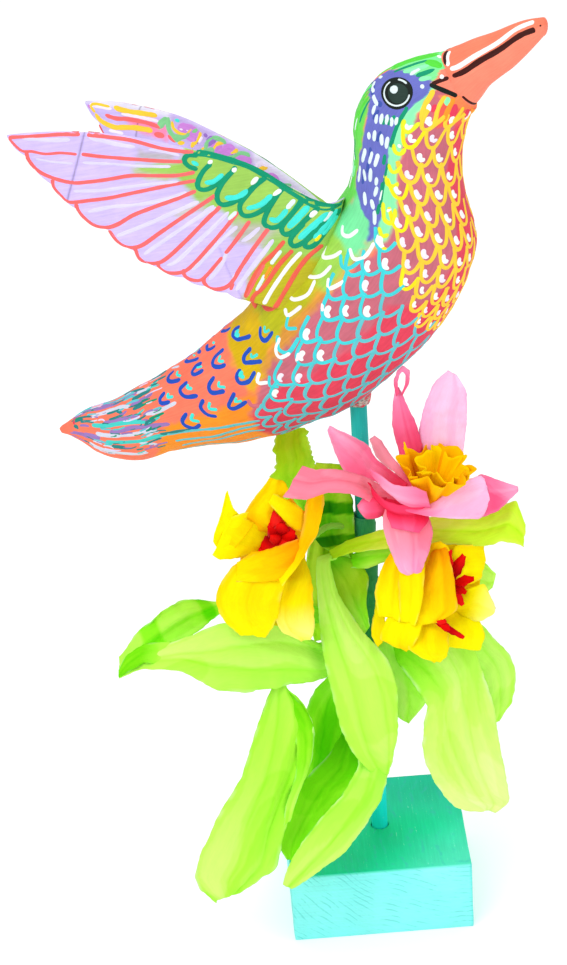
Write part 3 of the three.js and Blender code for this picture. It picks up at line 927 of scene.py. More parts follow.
# Streaks laid along the tail: a colour, a width, and the line.
TAIL_STREAKS = [
    ("deep_teal", 7.0, [(0.75, 68), (0.9, 76), (0.98, 86)]),
    ("sea", 5.0, [(1.5, 66), (2.4, 66), (3.1, 70), (3.6, 78)]),
    ("plum", 4.4, [(2.2, 80), (3.0, 78), (3.6, 85), (4.4, 92)]),
    ("plum", 7.0, [(1.2, 104), (1.45, 97), (1.9, 92)]),
    ("plum", 2.0, [(1.9, 60), (2.8, 60), (3.3, 63)]),
    ("mist", 4.6, [(1.4, 44), (1.7, 37), (2.4, 36), (2.9, 44)]),
    ("mist", 3.0, [(3.0, 20), (3.5, 24), (3.8, 22)]),
    ("mist", 3.2, [(1.7, 84), (2.6, 87), (3.4, 90), (4.0, 98)]),
    ("deep_teal", 6.0, [(2.9, 32), (3.4, 30), (3.75, 30)]),
    ("plum", 2.2, [(2.9, 42), (3.5, 40), (3.85, 38)]),
    ("deep_teal", 2.6, [(2.3, 40), (2.6, 50)]),
    ("deep_teal", 2.6, [(3.0, 50), (3.5, 49)]),
    ("deep_teal", 3.4, [(3.5, 78), (3.95, 79)]),
    ("sea", 3.2, [(2.1, 99), (2.9, 100), (3.6, 104), (4.3, 106)]),
    ("deep_teal", 3.0, [(2.3, 108), (2.7, 109)]),
    ("mist", 2.0, [(3.2, 104), (3.55, 112), (3.85, 120)]),
    ("mist", 2.6, [(3.5, 64), (4.0, 69), (4.7, 67)]),
    ("deep_teal", 1.8, [(4.0, 104), (4.6, 106), (5.0, 108)]),
    ("dull_aqua", 1.7, [(4.2, 106), (5.0, 109), (6.0, 112), (7.0, 117)]),
    ("dull_aqua", 1.5, [(4.4, 122), (5.4, 124), (6.2, 121), (6.9, 122)]),
    ("dull_aqua", 1.3, [(4.5, 136), (5.4, 132), (6.4, 128), (6.9, 132)]),
    ("dull_aqua", 1.3, [(4.3, 152), (5.4, 148), (6.6, 146)]),
    ("plum", 2.6, [(0.9, 10), (1.5, 18), (2.4, 22)]),
    ("dull_aqua", 2.4, [(1.6, 4), (2.3, 12), (3.0, 14)]),
    ("deep_teal", 2.2, [(2.4, 0), (2.9, 12), (3.4, 20)]),
    ("mist", 1.8, [(4.4, 4), (4.7, 14)]),
    ("red", 1.8, [(0.75, 20), (0.72, 44), (0.78, 64)]),
    ("mist", 2.4, [(1.5, 116), (2.4, 122), (3.4, 130)]),
]


def tail_streaks():
    for colour, width, path in TAIL_STREAKS:
        both_sides(colour, path, min(width, 1.5 + width * 0.2), height=0.2, ends=(0.9, 1.2),
                   uneven=0.22)
    palette = ("deep_teal", "plum", "sea", "mist", "deep_teal", "dull_aqua", "teal", "plum",
               "lavender", "deep_teal")
    for i in range(110):
        k, angle = rng.uniform(0.55, 3.9), rng.uniform(2, 128)
        reach = rng.uniform(4, 11)
        high = k_after(k, angle, reach)
        path = [(k, angle), ((k + high) / 2, angle + jitter(2)), (high, angle + jitter(4))]
        both_sides(palette[i % len(palette)], path, rng.uniform(0.7, 1.5), height=0.2,
                   ends=(1.0, 1.4), uneven=0.22)


# Pale dashes in the violet mask, and the darker ones between them.
MASK_DASHES = [
    ((17.35, 52), (17.85, 48)), ((16.95, 61), (17.5, 57)), ((17.0, 67), (17.6, 63)),
    ((17.05, 73), (17.65, 69)), ((17.0, 79), (17.6, 75)), ((17.1, 83), (17.65, 80)),
    ((16.4, 56), (16.0, 57)), ((16.6, 63), (16.0, 64)), ((16.5, 71), (15.9, 74)), ((16.4, 79), (15.8, 79)),
    ((15.5, 52), (14.7, 45)), ((15.5, 62), (14.85, 57)), ((15.5, 70), (14.85, 65)),
    ((14.4, 40), (13.6, 38)), ((14.4, 48), (13.9, 51)), ((14.7, 60), (14.0, 58)),
    ((14.4, 68), (14.0, 66)), ((14.0, 68), (13.6, 64)),
    ((13.5, 50), (13.1, 54)), ((13.45, 60), (13.2, 64)), ((13.2, 65), (12.75, 68)),
]
DARK_DASHES = [
    ("teal", 16.2, 82), ("teal", 15.3, 75), ("teal", 14.05, 72), ("teal", 13.3, 67),
    ("teal", 17.3, 68), ("teal", 17.35, 74), ("deep_blue", 15.4, 57), ("deep_blue", 16.3, 67),
    ("deep_blue", 17.4, 54), ("deep_blue", 14.6, 53), ("deep_blue", 13.9, 45),
]


def mask_marks():
    for colour, k, angle in DARK_DASHES:
        low, high = k_after(k, angle, -2.4), k_after(k, angle, 2.8)
        both_sides(colour, [(low, angle + 1), (high, angle + 3)], 1.9, ends=(0.6, 1.0))
    for start, end in MASK_DASHES:
        both_sides("pale", [start, end], rng.uniform(1.8, 2.4), height=0.3, ends=(0.8, 0.9))
    for path, width in (
        ([(18.5, 10), (18.32, 22), (18.25, 32)], 2.2), ([(18.15, 34), (18.0, 44), (17.9, 52)], 2.2),
        ([(19.8, 70), (20.0, 68)], 2.0), ([(18.75, 8), (18.9, 16)], 1.6),
    ):
        both_sides("pale", path, width, height=0.3)
    for colour, width, path in (
        ("deep_blue", 2.4, [(18.42, 18), (18.2, 30), (18.12, 33)]),
        ("deep_blue", 2.4, [(18.05, 48), (17.95, 57)]),
        ("teal", 1.3, [(13.4, 71), (14.2, 76), (15.2, 81)]),
        ("teal", 1.9, [(15.9, 84), (16.9, 84.5), (18.2, 83), (18.35, 80)]),
        ("white", 1.3, [(13.6, 71), (14.0, 74.5)]),
    ):
        both_sides(colour, path, width)


def crown_streaks():
    """Green, mint, white and teal streaks along the nape and the crown."""
    for _ in range(64):
        k = rng.uniform(11.6, 18.0)
        rim = np.interp(k, [11.6, 13, 14, 15, 16, 17.2, 18], [20, 30, 27, 36, 44, 40, 22])
        angle = rng.uniform(-rim, rim)
        colour = rng.choice(["green", "mint", "mint", "pale", "teal", "green", "white"])
        reach = rng.uniform(5, 13)
        high = min(k_after(k, abs(angle), reach), 18.4)
        path = [(k, angle), ((k + high) / 2, angle + jitter(2)), (high, angle + jitter(3))]
        body_paint.put(colour, BODY_SURFACE, path, rng.uniform(0.9, 2.0), height=0.18,
                       ends=(1.2, 1.6), uneven=0.2)
    for colour, width, path in (
        ("green", 2.6, [(19.3, 8), (20.0, 8), (20.8, 6)]),
        ("green", 3.6, [(20.4, 20), (20.7, 36), (20.85, 46)]),
        ("teal", 1.6, [(19.4, 20), (20.0, 22), (20.5, 20)]),
        ("mint", 2.4, [(19.7, 30), (20.1, 34), (20.5, 34)]),
        ("teal", 2.4, [(20.0, 48), (20.3, 48), (20.6, 46)]),
        ("pale", 2.2, [(19.85, 42), (20.1, 38), (20.3, 34)]),
        ("white", 1.6, [(20.75, 10), (20.9, 22)]),
        ("mint", 2.0, [(20.0, 56), (20.4, 60)]),
        ("green", 1.6, [(18.6, 0), (19.4, 0.5), (20.6, 0)]),
    ):
        both_sides(colour, path, width, height=0.2, ends=(1.0, 1.2), uneven=0.2)


def throat_streaks():
    for colour, width, path in (
        ("yellow", 2.4, [(20.15, 82), (19.6, 90), (18.6, 98), (17.6, 105)]),
        ("yellow", 2.2, [(20.3, 100), (19.4, 108), (18.2, 116), (17.2, 120)]),
        ("orange", 2.6, [(20.5, 112), (19.6, 120), (18.4, 126), (17.4, 130)]),
        ("red", 4.0, [(20.2, 124), (19.2, 130), (18.0, 136)]),
        ("yellow", 2.2, [(20.2, 140), (18.8, 142), (17.6, 142), (16.6, 140)]),
        ("red", 3.2, [(19.9, 154), (18.8, 156), (17.2, 158)]),
        ("orange", 2.4, [(20.2, 164), (18.6, 166), (17.4, 168)]),
        ("red", 2.6, [(19.4, 104), (18.6, 108)]),
        ("white", 2.4, [(19.25, 96), (18.85, 102), (18.6, 105)]),
        ("mint", 3.4, [(20.35, 104), (20.0, 110), (19.7, 116)]),
        ("white", 2.6, [(17.3, 92), (17.0, 96), (17.2, 101)]),
        ("lime", 2.2, [(17.6, 88), (17.0, 91), (16.75, 97), (17.1, 102), (17.5, 104)]),
        ("lime", 2.2, [(16.1, 86), (15.75, 89), (15.7, 95), (15.95, 99)]),
        ("lime", 2.0, [(15.2, 82), (14.9, 86), (15.0, 92), (15.3, 96)]),
        ("lime", 2.2, [(14.7, 78), (14.3, 80), (14.3, 88), (14.5, 92)]),
        ("lime", 2.2, [(13.6, 74), (13.15, 76), (13.2, 84), (13.6, 87)]),
        ("lime", 2.0, [(12.8, 72), (12.6, 77), (12.8, 82)]),
        ("bright_yellow", 1.8, [(12.25, 80), (12.3, 86)]),
        ("white", 1.7, [(13.4, 78), (13.55, 83)]),
        ("white", 2.2, [(16.1, 91), (15.95, 94)]),
        ("white", 2.0, [(14.85, 88), (14.95, 91)]),
        ("white", 2.2, [(12.5, 72), (12.25, 76), (12.4, 80)]),
    ):
        both_sides(colour, path, width, height=0.26, ends=(0.7, 0.9), uneven=0.16)


rump_marks()
tail_streaks()
mask_marks()
crown_streaks()
throat_streaks()


EYE_RADIUS = 6.9
EYE_AT = (19.03, 59)
LOOK = unit(np.array([-0.09, -0.92, 0.37]))
LOOK_RIGHT = unit(np.cross(-LOOK, [0.0, 0.0, 1.0]))
LOOK_UP = np.cross(LOOK_RIGHT, -LOOK)


def around_eye(x, y):
    """Places on the head x mm to the right of and y mm above the eye, seen from the side."""
    x, y = np.asarray(x, float) - 1.0, np.asarray(y, float) - 0.4
    k, angle = np.full(len(x), EYE_AT[0]), np.full(len(x), float(EYE_AT[1]))
    middle = body_point([EYE_AT[0]], [EYE_AT[1]])[0]
    for _ in range(8):
        gap = body_point(k, angle) - middle
        miss_x, miss_y = x - gap @ LOOK_RIGHT, y - gap @ LOOK_UP
        along, across = BODY_SURFACE.frame(k, angle)
        a, b, c, d = along @ LOOK_RIGHT, across @ LOOK_RIGHT, along @ LOOK_UP, across @ LOOK_UP
        det = a * d - b * c
        k = k + (d * miss_x - b * miss_y) / det
        angle = angle + (a * miss_y - c * miss_x) / det
    return k, angle


def disc(colour, x, y, radius, height, side):
    """A round domed dab of paint, x and y mm from the middle of the eye."""
    rings, spokes = 7, 40
    t = np.radians(np.linspace(0, 360, spokes, endpoint=False))
    levels = [(1.0, -0.3), (1.02, 0.0)]
    levels += [(c, height * math.sqrt(1 - c * c)) for c in np.linspace(0.97, 0.05, rings)]
    points, brush = [], []
    for share, lift in levels:
        r = radius * share * (1 + 0.02 * np.sin(3 * t + x))
        k, angle = around_eye(x + r * np.cos(t), y + r * np.sin(t))
        p, n = BODY_SURFACE.at(k, angle * side)
        points.append(p + n * lift)
        brush.append(np.stack([r * np.cos(t), r * np.sin(t), t * 0], 1))
    faces = tube_faces(len(levels), spokes)
    if side == FAR:
        faces = [face[::-1] for face in faces]
    build = body_paint.builds.setdefault(colour, Build())
    build.add(np.concatenate(points), faces, np.concatenate(brush))


def eye(side):
    def ring(radius, start, stop, width, lift):
        t = np.radians(np.linspace(start, stop, 24))
        k, angle = around_eye(radius * np.cos(t), radius * np.sin(t))
        body_paint.put("pale", BODY_SURFACE, list(zip(k, angle * side)), width, height=lift,
                       ends=(0.6, 0.6), uneven=0.06)

    disc("ink", 0, 0, EYE_RADIUS, 0.35, side)
    disc("eye", 0.5, -0.2, EYE_RADIUS * 0.66, 0.95, side)
    ring(EYE_RADIUS * 0.80, 118, 352, 1.0, 0.5)
    ring(EYE_RADIUS * 0.84, 40, 84, 1.1, 0.55)
    disc("pale", -0.9, 1.2, EYE_RADIUS * 0.30, 1.5, side)


PAINTS["eye"] = brushed_paint("paint_eye", rgb(34, 56, 48))
for _side in (NEAR, FAR):
    eye(_side)
body_paint.make("strokes", "painted_body")

# ---------------------------------------------------------------------------
# Bird: beak
# ---------------------------------------------------------------------------

# Marks on the beak and in the corner of the mouth: a colour, a width, a height, how drawn out
# the two ends are, and the line.
BEAK_MARKS = [
    ("white", 2.2, 0.22, (0.5, 0.5), [(1.3, 12), (1.16, 30), (1.12, 50)]),
    ("white", 2.3, 0.26, (0.5, 0.5), [(1.16, 57), (1.6, 63), (2.4, 60), (3.2, 53), (3.85, 41),
                                      (4.6, 30)]),
    ("brown", 2.5, 0.22, (0.6, 0.3), [(1.12, 72), (1.73, 79), (2.43, 77), (3.15, 75), (4.03, 70),
                                      (4.62, 74)]),
    ("brown", 2.6, 0.22, (0.5, 0.8), [(1.14, 4), (1.06, 22), (1.05, 46)]),
    ("brown", 1.3, 0.22, (0.5, 0.5), [(1.02, 116), (1.06, 140), (1.1, 172)]),
    ("brown", 1.2, 0.22, (0.5, 0.5), [(4.9, 60), (4.98, 72)]),
]
MOUTH_MARKS = [
    ("brown", 2.1, 0.22, (0.5, 0.5), [(21.0, 71), (20.6, 70.5), (20.25, 71.5)]),
    ("ink", 2.3, 0.3, (0.5, 0.5), [(20.2, 70), (20.3, 80), (20.5, 94), (20.78, 110)]),
    ("white", 2.4, 0.4, (0.5, 0.5), [(20.62, 65.5), (20.8, 64.5)]),
]


def beak_marks(marks, surface, prefix, slot):
    strokes = Strokes()
    for side in (NEAR, FAR):
        for colour, width, height, ends, path in marks:
            turned = [(k, angle * side) for k, angle in path]
            strokes.put(colour, surface, turned, width, height=height, ends=ends)
    strokes.make(prefix, slot)


def beak():
    rows, columns = 150, 120
    k = np.linspace(0, 5, rows)
    angle = np.linspace(-180, 180, columns, endpoint=False)
    kk, aa = np.repeat(k, columns), np.tile(angle, rows)
    points = beak_point(kk, aa)
    tip_ring = points[-columns:]
    centre = tip_ring.mean(0)
    ahead = from_bird([[0.94, 0, 0.34]])[0]
    caps = [centre + (tip_ring - centre) * c + ahead * 2.2 * math.sqrt(1 - c * c)
            for c in (0.96, 0.86, 0.7, 0.5, 0.25)]
    stack = np.concatenate([points] + caps)
    tone = np.tile(rgb(255, 138, 112), (len(stack), 1))
    upper = ramp(np.tile(np.abs(angle), rows + 5), 74, 66)[:, None]
    tone = mix(tone, rgb(255, 130, 100), upper)
    tone = tone * (1 + 0.05 * noise(stack, 8))[:, None]
    brush = np.stack([np.r_[kk * 12, np.full(columns * 5, 60.0)],
                      np.tile(angle * 0.15, rows + 5), np.zeros(len(stack))], 1)
    build = Build()
    build.add(stack, tube_faces(rows + 5, columns), brush, np.clip(tone, 0, 1))
    ground = brushed_paint("paint_beak_ground", None, streaks=(0.12, 1.5, 1.0))
    build.make("beak_cone", ground, "figure", "painted_beak", ("beak",))
    beak_marks(BEAK_MARKS, RoundSurface(beak_point), "beak_marks", "painted_beak")
    beak_marks(MOUTH_MARKS, BODY_SURFACE, "mouth_corner", "painted_body")


beak()

# ---------------------------------------------------------------------------
# Bird: wings
# ---------------------------------------------------------------------------

LEADING_EDGE = [(-4, -3), (6, -1), (19, -5), (33, -9), (50, -12.6), (66, -14), (82, -14.6),
                (96, -14.2), (112, -12), (126, -9), (140, -4.6), (149.5, -0.8)]
# Where the scallops of the trailing edge meet: a feather ends between each two.
FEATHER_ENDS = [(-4, 56), (31, 54), (40, 52.8), (50, 52), (60.5, 50), (73, 47.5), (84, 42),
                (97.5, 34.5), (113, 27.3), (126, 17.8), (140, 6.8), (149.5, -0.4)]
WINGS = {
    "right_wing": ((-0.5, -19, 378.6), (-43.4, -24, 331.4), (-144, -46, 414.4)),
    "left_wing": ((-8, 11, 363), (-52, 26, 320), (-142, 58, 388)),
}
WING_HALF = 1.35
# Creases in the wing panels, grooved into the outer face, with painted shade along them on both faces.
TIP_CREASE = ((115, -15), (116, 0), (118.3, 27))
ROOT_CREASE = ((47, 31), (42, 40), (32, 54))


def wing_frame(name):
    """A wing's plane: its origin, the way out to the tip, the way down, and its outward side."""
    shoulder, root, tip = from_bird(WINGS[name])
    out = unit(tip - shoulder)
    down = unit((root - shoulder) - out * ((root - shoulder) @ out))
    return shoulder, out, down, np.cross(out, down)


def crease_depth(u, v, line, width):
    """How near a point is to a crease: 1 on it, 0 away from it."""
    best = np.full(len(u), 1e9)
    for (x0, y0), (x1, y1) in zip(line[:-1], line[1:]):
        dx, dy = x1 - x0, y1 - y0
        t = np.clip(((u - x0) * dx + (v - y0) * dy) / (dx * dx + dy * dy), 0, 1)
        best = np.minimum(best, np.hypot(u - x0 - t * dx, v - y0 - t * dy))
    return np.exp(-((best / width) ** 2))


WING_FIELDS = [
    ((156, 204, 90), 4, [(-20, -30), (70, -30), (71, -7), (90, -2), (90, 2), (72, 1), (66, 4),
                         (62, 10), (56, 15), (50, 12), (44, 17), (38, 20), (32, 18), (27, 26),
                         (23, 34), (-20, 34)]),
    ((188, 180, 34), 5, [(-20, 22), (20, 26), (28, 30), (32, 42), (31, 50), (33, 62), (-20, 62)]),
    ((184, 178, 186), 6, [(73, -12), (90, -10), (91, -5), (74, -6)]),
    ((186, 184, 170), 6, [(22, 15), (40, 15), (46, 24), (40, 26), (28, 24)]),
    ((190, 196, 150), 5, [(72, 0), (92, 1), (90, 4), (76, 4)]),
    ((196, 190, 190), 5, [(57, 9), (66, 14), (72, 20), (66, 20), (58, 15)]),
]
INNER_FIELDS = [
    ((226, 222, 240), 3, [(-5, -20), (160, -20), (150, 0), (126, -6), (96, -11), (66, -11),
                          (33, -6), (10, 0)]),
    ((250, 140, 180), 5, [(97, -7), (112, -6), (124, -2), (112, 1), (98, 0)]),
    ((194, 176, 226), 4, [(48, -14), (98, -16), (98, -3), (50, 0)]),
    ((176, 150, 214), 6, [(60, -9), (72, -8), (74, -3), (64, -2)]),
]


def wing_paint(u, v, points, fields, base):
    x = u + 1.8 * noise(points, 8, 3.5) + 0.6 * noise(points, 2.5, 1.2)
    y = v + 1.8 * noise(points, 8, 6.5) + 0.6 * noise(points, 2.5, 8.2)
    colour = np.tile(rgb(*base), (len(u), 1))
    for paint, soft, outline in fields:
        depth = inside(x, y, [(float(a), float(b)) for a, b in outline])
        share = ramp(depth, -soft / 2, soft / 2)[:, None]
        colour = mix(colour, rgb(*paint), share)
    # Painted shade along the wing's creases.
    dark = 0.5 * crease_depth(u, v, TIP_CREASE, 0.45) + 0.2 * crease_depth(u, v, ROOT_CREASE, 0.5)
    patchy = (1 + 0.04 * noise(points, 14, 6.1) + 0.03 * noise(points, 4, 3.3)) * (1 - dark)
    return np.clip(colour * patchy[:, None], 0, 1)


def wing_edges():
    """Leading and trailing edge by distance out, the trailing one gently scalloped."""
    u = np.linspace(-3, 149.4, 300)
    lead_fine = smooth_path(LEADING_EDGE, 0.8)
    lead = np.interp(u, lead_fine[:, 0], lead_fine[:, 1])
    ends = np.array(FEATHER_ENDS, float)
    trail = np.interp(u, ends[:, 0], ends[:, 1])
    i = np.clip(np.searchsorted(ends[:, 0], u) - 1, 0, len(ends) - 2)
    t = (u - ends[i, 0]) / (ends[i + 1, 0] - ends[i, 0])
    reach = np.hypot(ends[i + 1, 0] - ends[i, 0], ends[i + 1, 1] - ends[i, 1])
    trail = trail + np.sin(np.pi * np.clip(t, 0, 1)) * np.minimum(reach * 0.11, 1.6) * (i > 0)
    return u, lead, np.maximum(trail, lead + 0.3)


def wing_sheet(name, outer):
    """One wing: a thin pasted panel with a rounded rim, thicker where it joins the body."""
    origin, out, down, normal = wing_frame(name)
    u, lead, trail = wing_edges()
    across = np.linspace(0, 1, 96)
    across = across - 0.35 * np.sin(2 * np.pi * across) / (2 * np.pi)
    uu = np.repeat(u, len(across))
    vv = (lead[:, None] + (trail - lead)[:, None] * across).ravel()
    rim = np.minimum(vv - np.repeat(lead, len(across)), np.repeat(trail, len(across)) - vv)
    rim = np.minimum(rim * 0.85, 149.4 - uu)
    root = np.exp(-np.clip(uu - 12 - vv * 0.33, 0, None) / 7.0) * 2.0
    half = (WING_HALF + root) * np.sqrt(1 - (1 - np.clip(rim / WING_HALF, 0.001, 1)) ** 2)
    flat = origin + np.outer(uu, out) + np.outer(vv, down)
    bend = 0.9 * noise(flat, 45, 2.2) - np.clip(uu - 116.5, 0, None) * 0.05
    bend = bend - outer * 0.075 * np.clip(6.5 - uu, 0, None) ** 2
    groove = 0.3 * crease_depth(uu, vv, TIP_CREASE, 0.5)
    groove += 0.2 * crease_depth(uu, vv, ROOT_CREASE, 0.5)
    lumps = 0.16 * noise(flat, 9, 4.1) + 0.06 * noise(flat, 3, 1.1)
    middle = flat + normal * bend[:, None]
    sides, paints = [], []
    for face in (1, -1):
        lift = half + (lumps - groove * (face == outer)) * (half > 0.6)
        sides.append(middle + normal * (face * np.maximum(lift, 0.03))[:, None])
        fields, base = (WING_FIELDS, (208, 190, 250)) if face == outer else (
            INNER_FIELDS, (200, 184, 240))
        paints.append(wing_paint(uu, vv, flat, fields, base))
    shape = (len(u), len(across), 3)
    points, faces = shell(sides[0].reshape(shape), sides[1].reshape(shape))
    brush = np.stack([uu, vv, uu * 0], 1)
    turn = math.radians(24)
    brush[:, :2] = brush[:, :2] @ np.array([[math.cos(turn), -math.sin(turn)],
                                           [math.sin(turn), math.cos(turn)]])
    build = Build()
    build.add(points, faces, np.concatenate([brush, brush]), np.concatenate(paints))
    return build.make(f"{name}_panel", WING_GROUND, "figure", "painted_wing", (name,))


WING_GROUND = brushed_paint("paint_wing_ground", None, streaks=(0.06, 0.9, 1.0))
OUTER_FACE = {"right_wing": 1, "left_wing": -1}
panels = {name: wing_sheet(name, OUTER_FACE[name]) for name in WINGS}


def tree_of(*objects):
    points, faces = [], []
    for made in objects:
        start = len(points)
        points += [v.co / MM for v in made.data.vertices]
        faces += [[i + start for i in f.vertices] for f in made.data.polygons]
    return BVHTree.FromPolygons(points, faces)


# Coral outlines of the long feathers, out from the shoulder and down.
FEATHER_LINES = [
    ([(66, -13.2), (80, -12.3), (94, -13), (105, -12), (114, -11)], 1.9),
    ([(117, -10.4), (126, -8), (136, -4.6), (145, -1.6), (148.4, -0.2)], 1.7),
    ([(70, -8), (80, -6), (92, -4), (105, -2), (115, -1)], 2.0),
    ([(117, -0.5), (124, 0.6), (131, 3), (137, 3.4), (142, 4.2), (148.2, 0)], 1.5),
    ([(64, -4), (72, -0.5), (82, 2), (92, 4.5), (101, 8.5), (110, 12), (117, 14), (125, 14),
      (133, 12.2), (138, 8), (139.6, 4)], 2.0),
    ([(63, 0), (72, 4), (82, 9), (92, 14), (100, 18), (108, 21), (117, 24), (121, 22), (125, 18.5),
      (126, 14.6)], 2.0),
    ([(62, 5), (70, 11), (80, 18), (88, 24), (94, 30), (99, 33), (104.5, 33.2), (110, 30),
      (113, 26.6), (113.8, 24)], 2.1),
    ([(53, 5), (60, 13), (68, 22), (75, 30), (82, 38), (88, 40.3), (93, 38.6), (97.4, 34)], 2.1),
    ([(50, 10), (55, 18), (62, 30), (70, 42), (75, 45.4), (81, 45.6), (84, 41), (85, 38.6)], 2.1),
    ([(42, 11), (46, 20), (52, 32), (58, 43), (62, 47), (68, 48.6), (72, 47), (73.4, 43.6)], 2.0),
    ([(45, 35), (50, 45), (53, 49), (57.5, 49.6), (60.4, 48), (61, 45)], 1.9),
    ([(36, 14), (40, 24), (44, 33)], 2.0),
    ([(27, 15), (32, 27), (36, 38), (39, 47), (43, 51), (48, 52), (51, 49.6), (51.4, 47)], 2.1),
    ([(38.6, 50.4), (38, 46.6)], 1.8),
]
FEATHER_LIGHTS = [
    ([(72, -10.6), (80, -11), (86, -10.4)], 1.7), ([(92, -10.2), (101, -9.6), (113, -10)], 2.2),
    ([(121, -7), (131, -4), (143, -2)], 2.3), ([(75, -4.4), (88, -1.4), (100, 0.6), (114, 3)], 1.5),
    ([(118, 4.4), (127, 6), (135, 6.6)], 1.3),
    ([(70, 2.4), (82, 6.4), (94, 11), (104, 15), (116, 18)], 1.8),
    ([(66, 6.6), (76, 13), (88, 18.6), (98, 22), (108, 27)], 2.0),
    ([(60, 10), (70, 18), (80, 26), (88, 32), (93.6, 36)], 2.2),
    ([(52, 11), (58, 17), (66, 26), (74, 35), (80, 42)], 2.1),
    ([(46, 12), (52, 22), (59, 33), (65, 42), (69, 45)], 2.1),
    ([(41, 18), (47, 27), (53, 38), (57.5, 45)], 2.0), ([(43, 31), (45, 39), (49, 48)], 2.2),
    ([(31, 16), (35, 22), (38, 25)], 2.2), ([(24, 20), (29, 32), (34, 44), (36, 50)], 2.3),
    ([(34, 33), (37, 41), (39, 45)], 1.8), ([(53, 10.4), (57, 14.4)], 1.6),
]
# Teal scallops of the short feathers, each with a turquoise and a white stroke beside it.
COVERT_LINES = [
    ([(-2.6, -2.6), (2, -1), (10, -1.2), (20, -4), (30, -8), (40, -11.4), (50, -13),
      (60, -13.6), (65.5, -13)], 2.2),
    ([(64, -12.6), (68.4, -11.6), (69.6, -8.6), (67, -6.2), (63, -5.6)], 2.2),
    ([(46.6, -11), (49, -6), (53, -1), (57, 3), (60.6, 3.8), (62, 1), (60.6, -5), (57.6, -10)], 2.2),
    ([(33, -8.4), (37, -3), (42, 4), (47, 8.4), (50.6, 9), (52.6, 5), (51, -2), (48, -8)], 2.3),
    ([(24, -6.6), (27, 0), (31, 7), (36, 11.4), (40, 11.8), (41.6, 7), (38, -1), (34, -8)], 2.2),
    ([(15, -2.6), (18, 5), (22, 12), (26, 14.8), (29.6, 13.4), (29, 7), (26, -2)], 2.2),
    ([(7, -1), (12, 7), (16, 13.4), (19.6, 16), (21.4, 13), (18, 5), (14.6, -2)], 2.3),
    ([(0, 0), (5, 9), (10, 17), (14.6, 20.6), (16.4, 17), (12, 8)], 2.4),
    ([(-2.4, 0), (-0.6, 5), (2.4, 12), (6, 18.4), (9.6, 19.4), (9, 14), (4, 6)], 2.4),
]
COVERT_GLINTS = [
    ("turquoise", [(66.4, -9), (63, -7.6)], 1.9),
    ("turquoise", [(51.6, -6), (55, -1.4), (59, 0.2)], 2.2),
    ("turquoise", [(39, -1), (43.6, 4), (49, 5.6)], 2.3),
    ("turquoise", [(28.6, -1), (32.6, 5), (38.6, 8.6)], 2.2),
    ("turquoise", [(20.6, 4), (24, 10.4), (27.8, 10.6)], 2.2),
    ("turquoise", [(11.4, -0.6), (15, 6), (18.8, 12.6)], 2.6),
    ("turquoise", [(2.4, 1), (8, 9), (13, 16.6)], 2.8),
    ("turquoise", [(-1.0, 0), (2, 7), (6.6, 14.6)], 2.4),
    ("turquoise", [(-1.6, 3), (0.4, 8), (3, 13)], 1.8),
    ("white", [(57.4, -11.6), (59, -9.4)], 1.9), ("white", [(46.4, -10.6), (48, -7.6)], 1.9),
    ("white", [(36.2, -8), (38.6, -3.6)], 2.0), ("white", [(24.6, -5), (28, -0.6)], 2.0),
    ("pale", [(18.2, -1.4), (21, 4)], 1.9), ("white", [(7.4, 0.4), (10.6, 5)], 2.0),
    ("pale", [(0.6, 0.4), (3.8, 6)], 1.7), ("pale", [(42.6, 11), (45.6, 16)], 1.6),
    ("bright_yellow", [(3.6, 12), (5.6, 16)], 1.6),
]
# Lines that run from the wing's root down over the body.
ROOT_LINES = [
    ("brick", [(2, 17.6), (7, 24), (10.6, 32), (14, 43), (17.6, 54), (22, 58.6), (26.4, 56.6), (28, 51),
               (23.6, 43), (19.6, 32), (14.6, 22.6)], 2.2),
    ("brick", [(19, 19), (23, 27), (27, 34), (30, 43), (31.4, 52)], 2.1),
    ("coral", [(26, 33), (28.6, 42), (31, 51)], 1.9),
    ("white", [(10.6, 22.6), (15, 31), (19.6, 43), (22.6, 53)], 2.0),
    ("pale", [(19.6, 24), (23, 32)], 1.8), ("pale", [(24.6, 38), (27, 47)], 1.8),
    ("orange", [(22.6, 33), (24.6, 40)], 1.6),
]
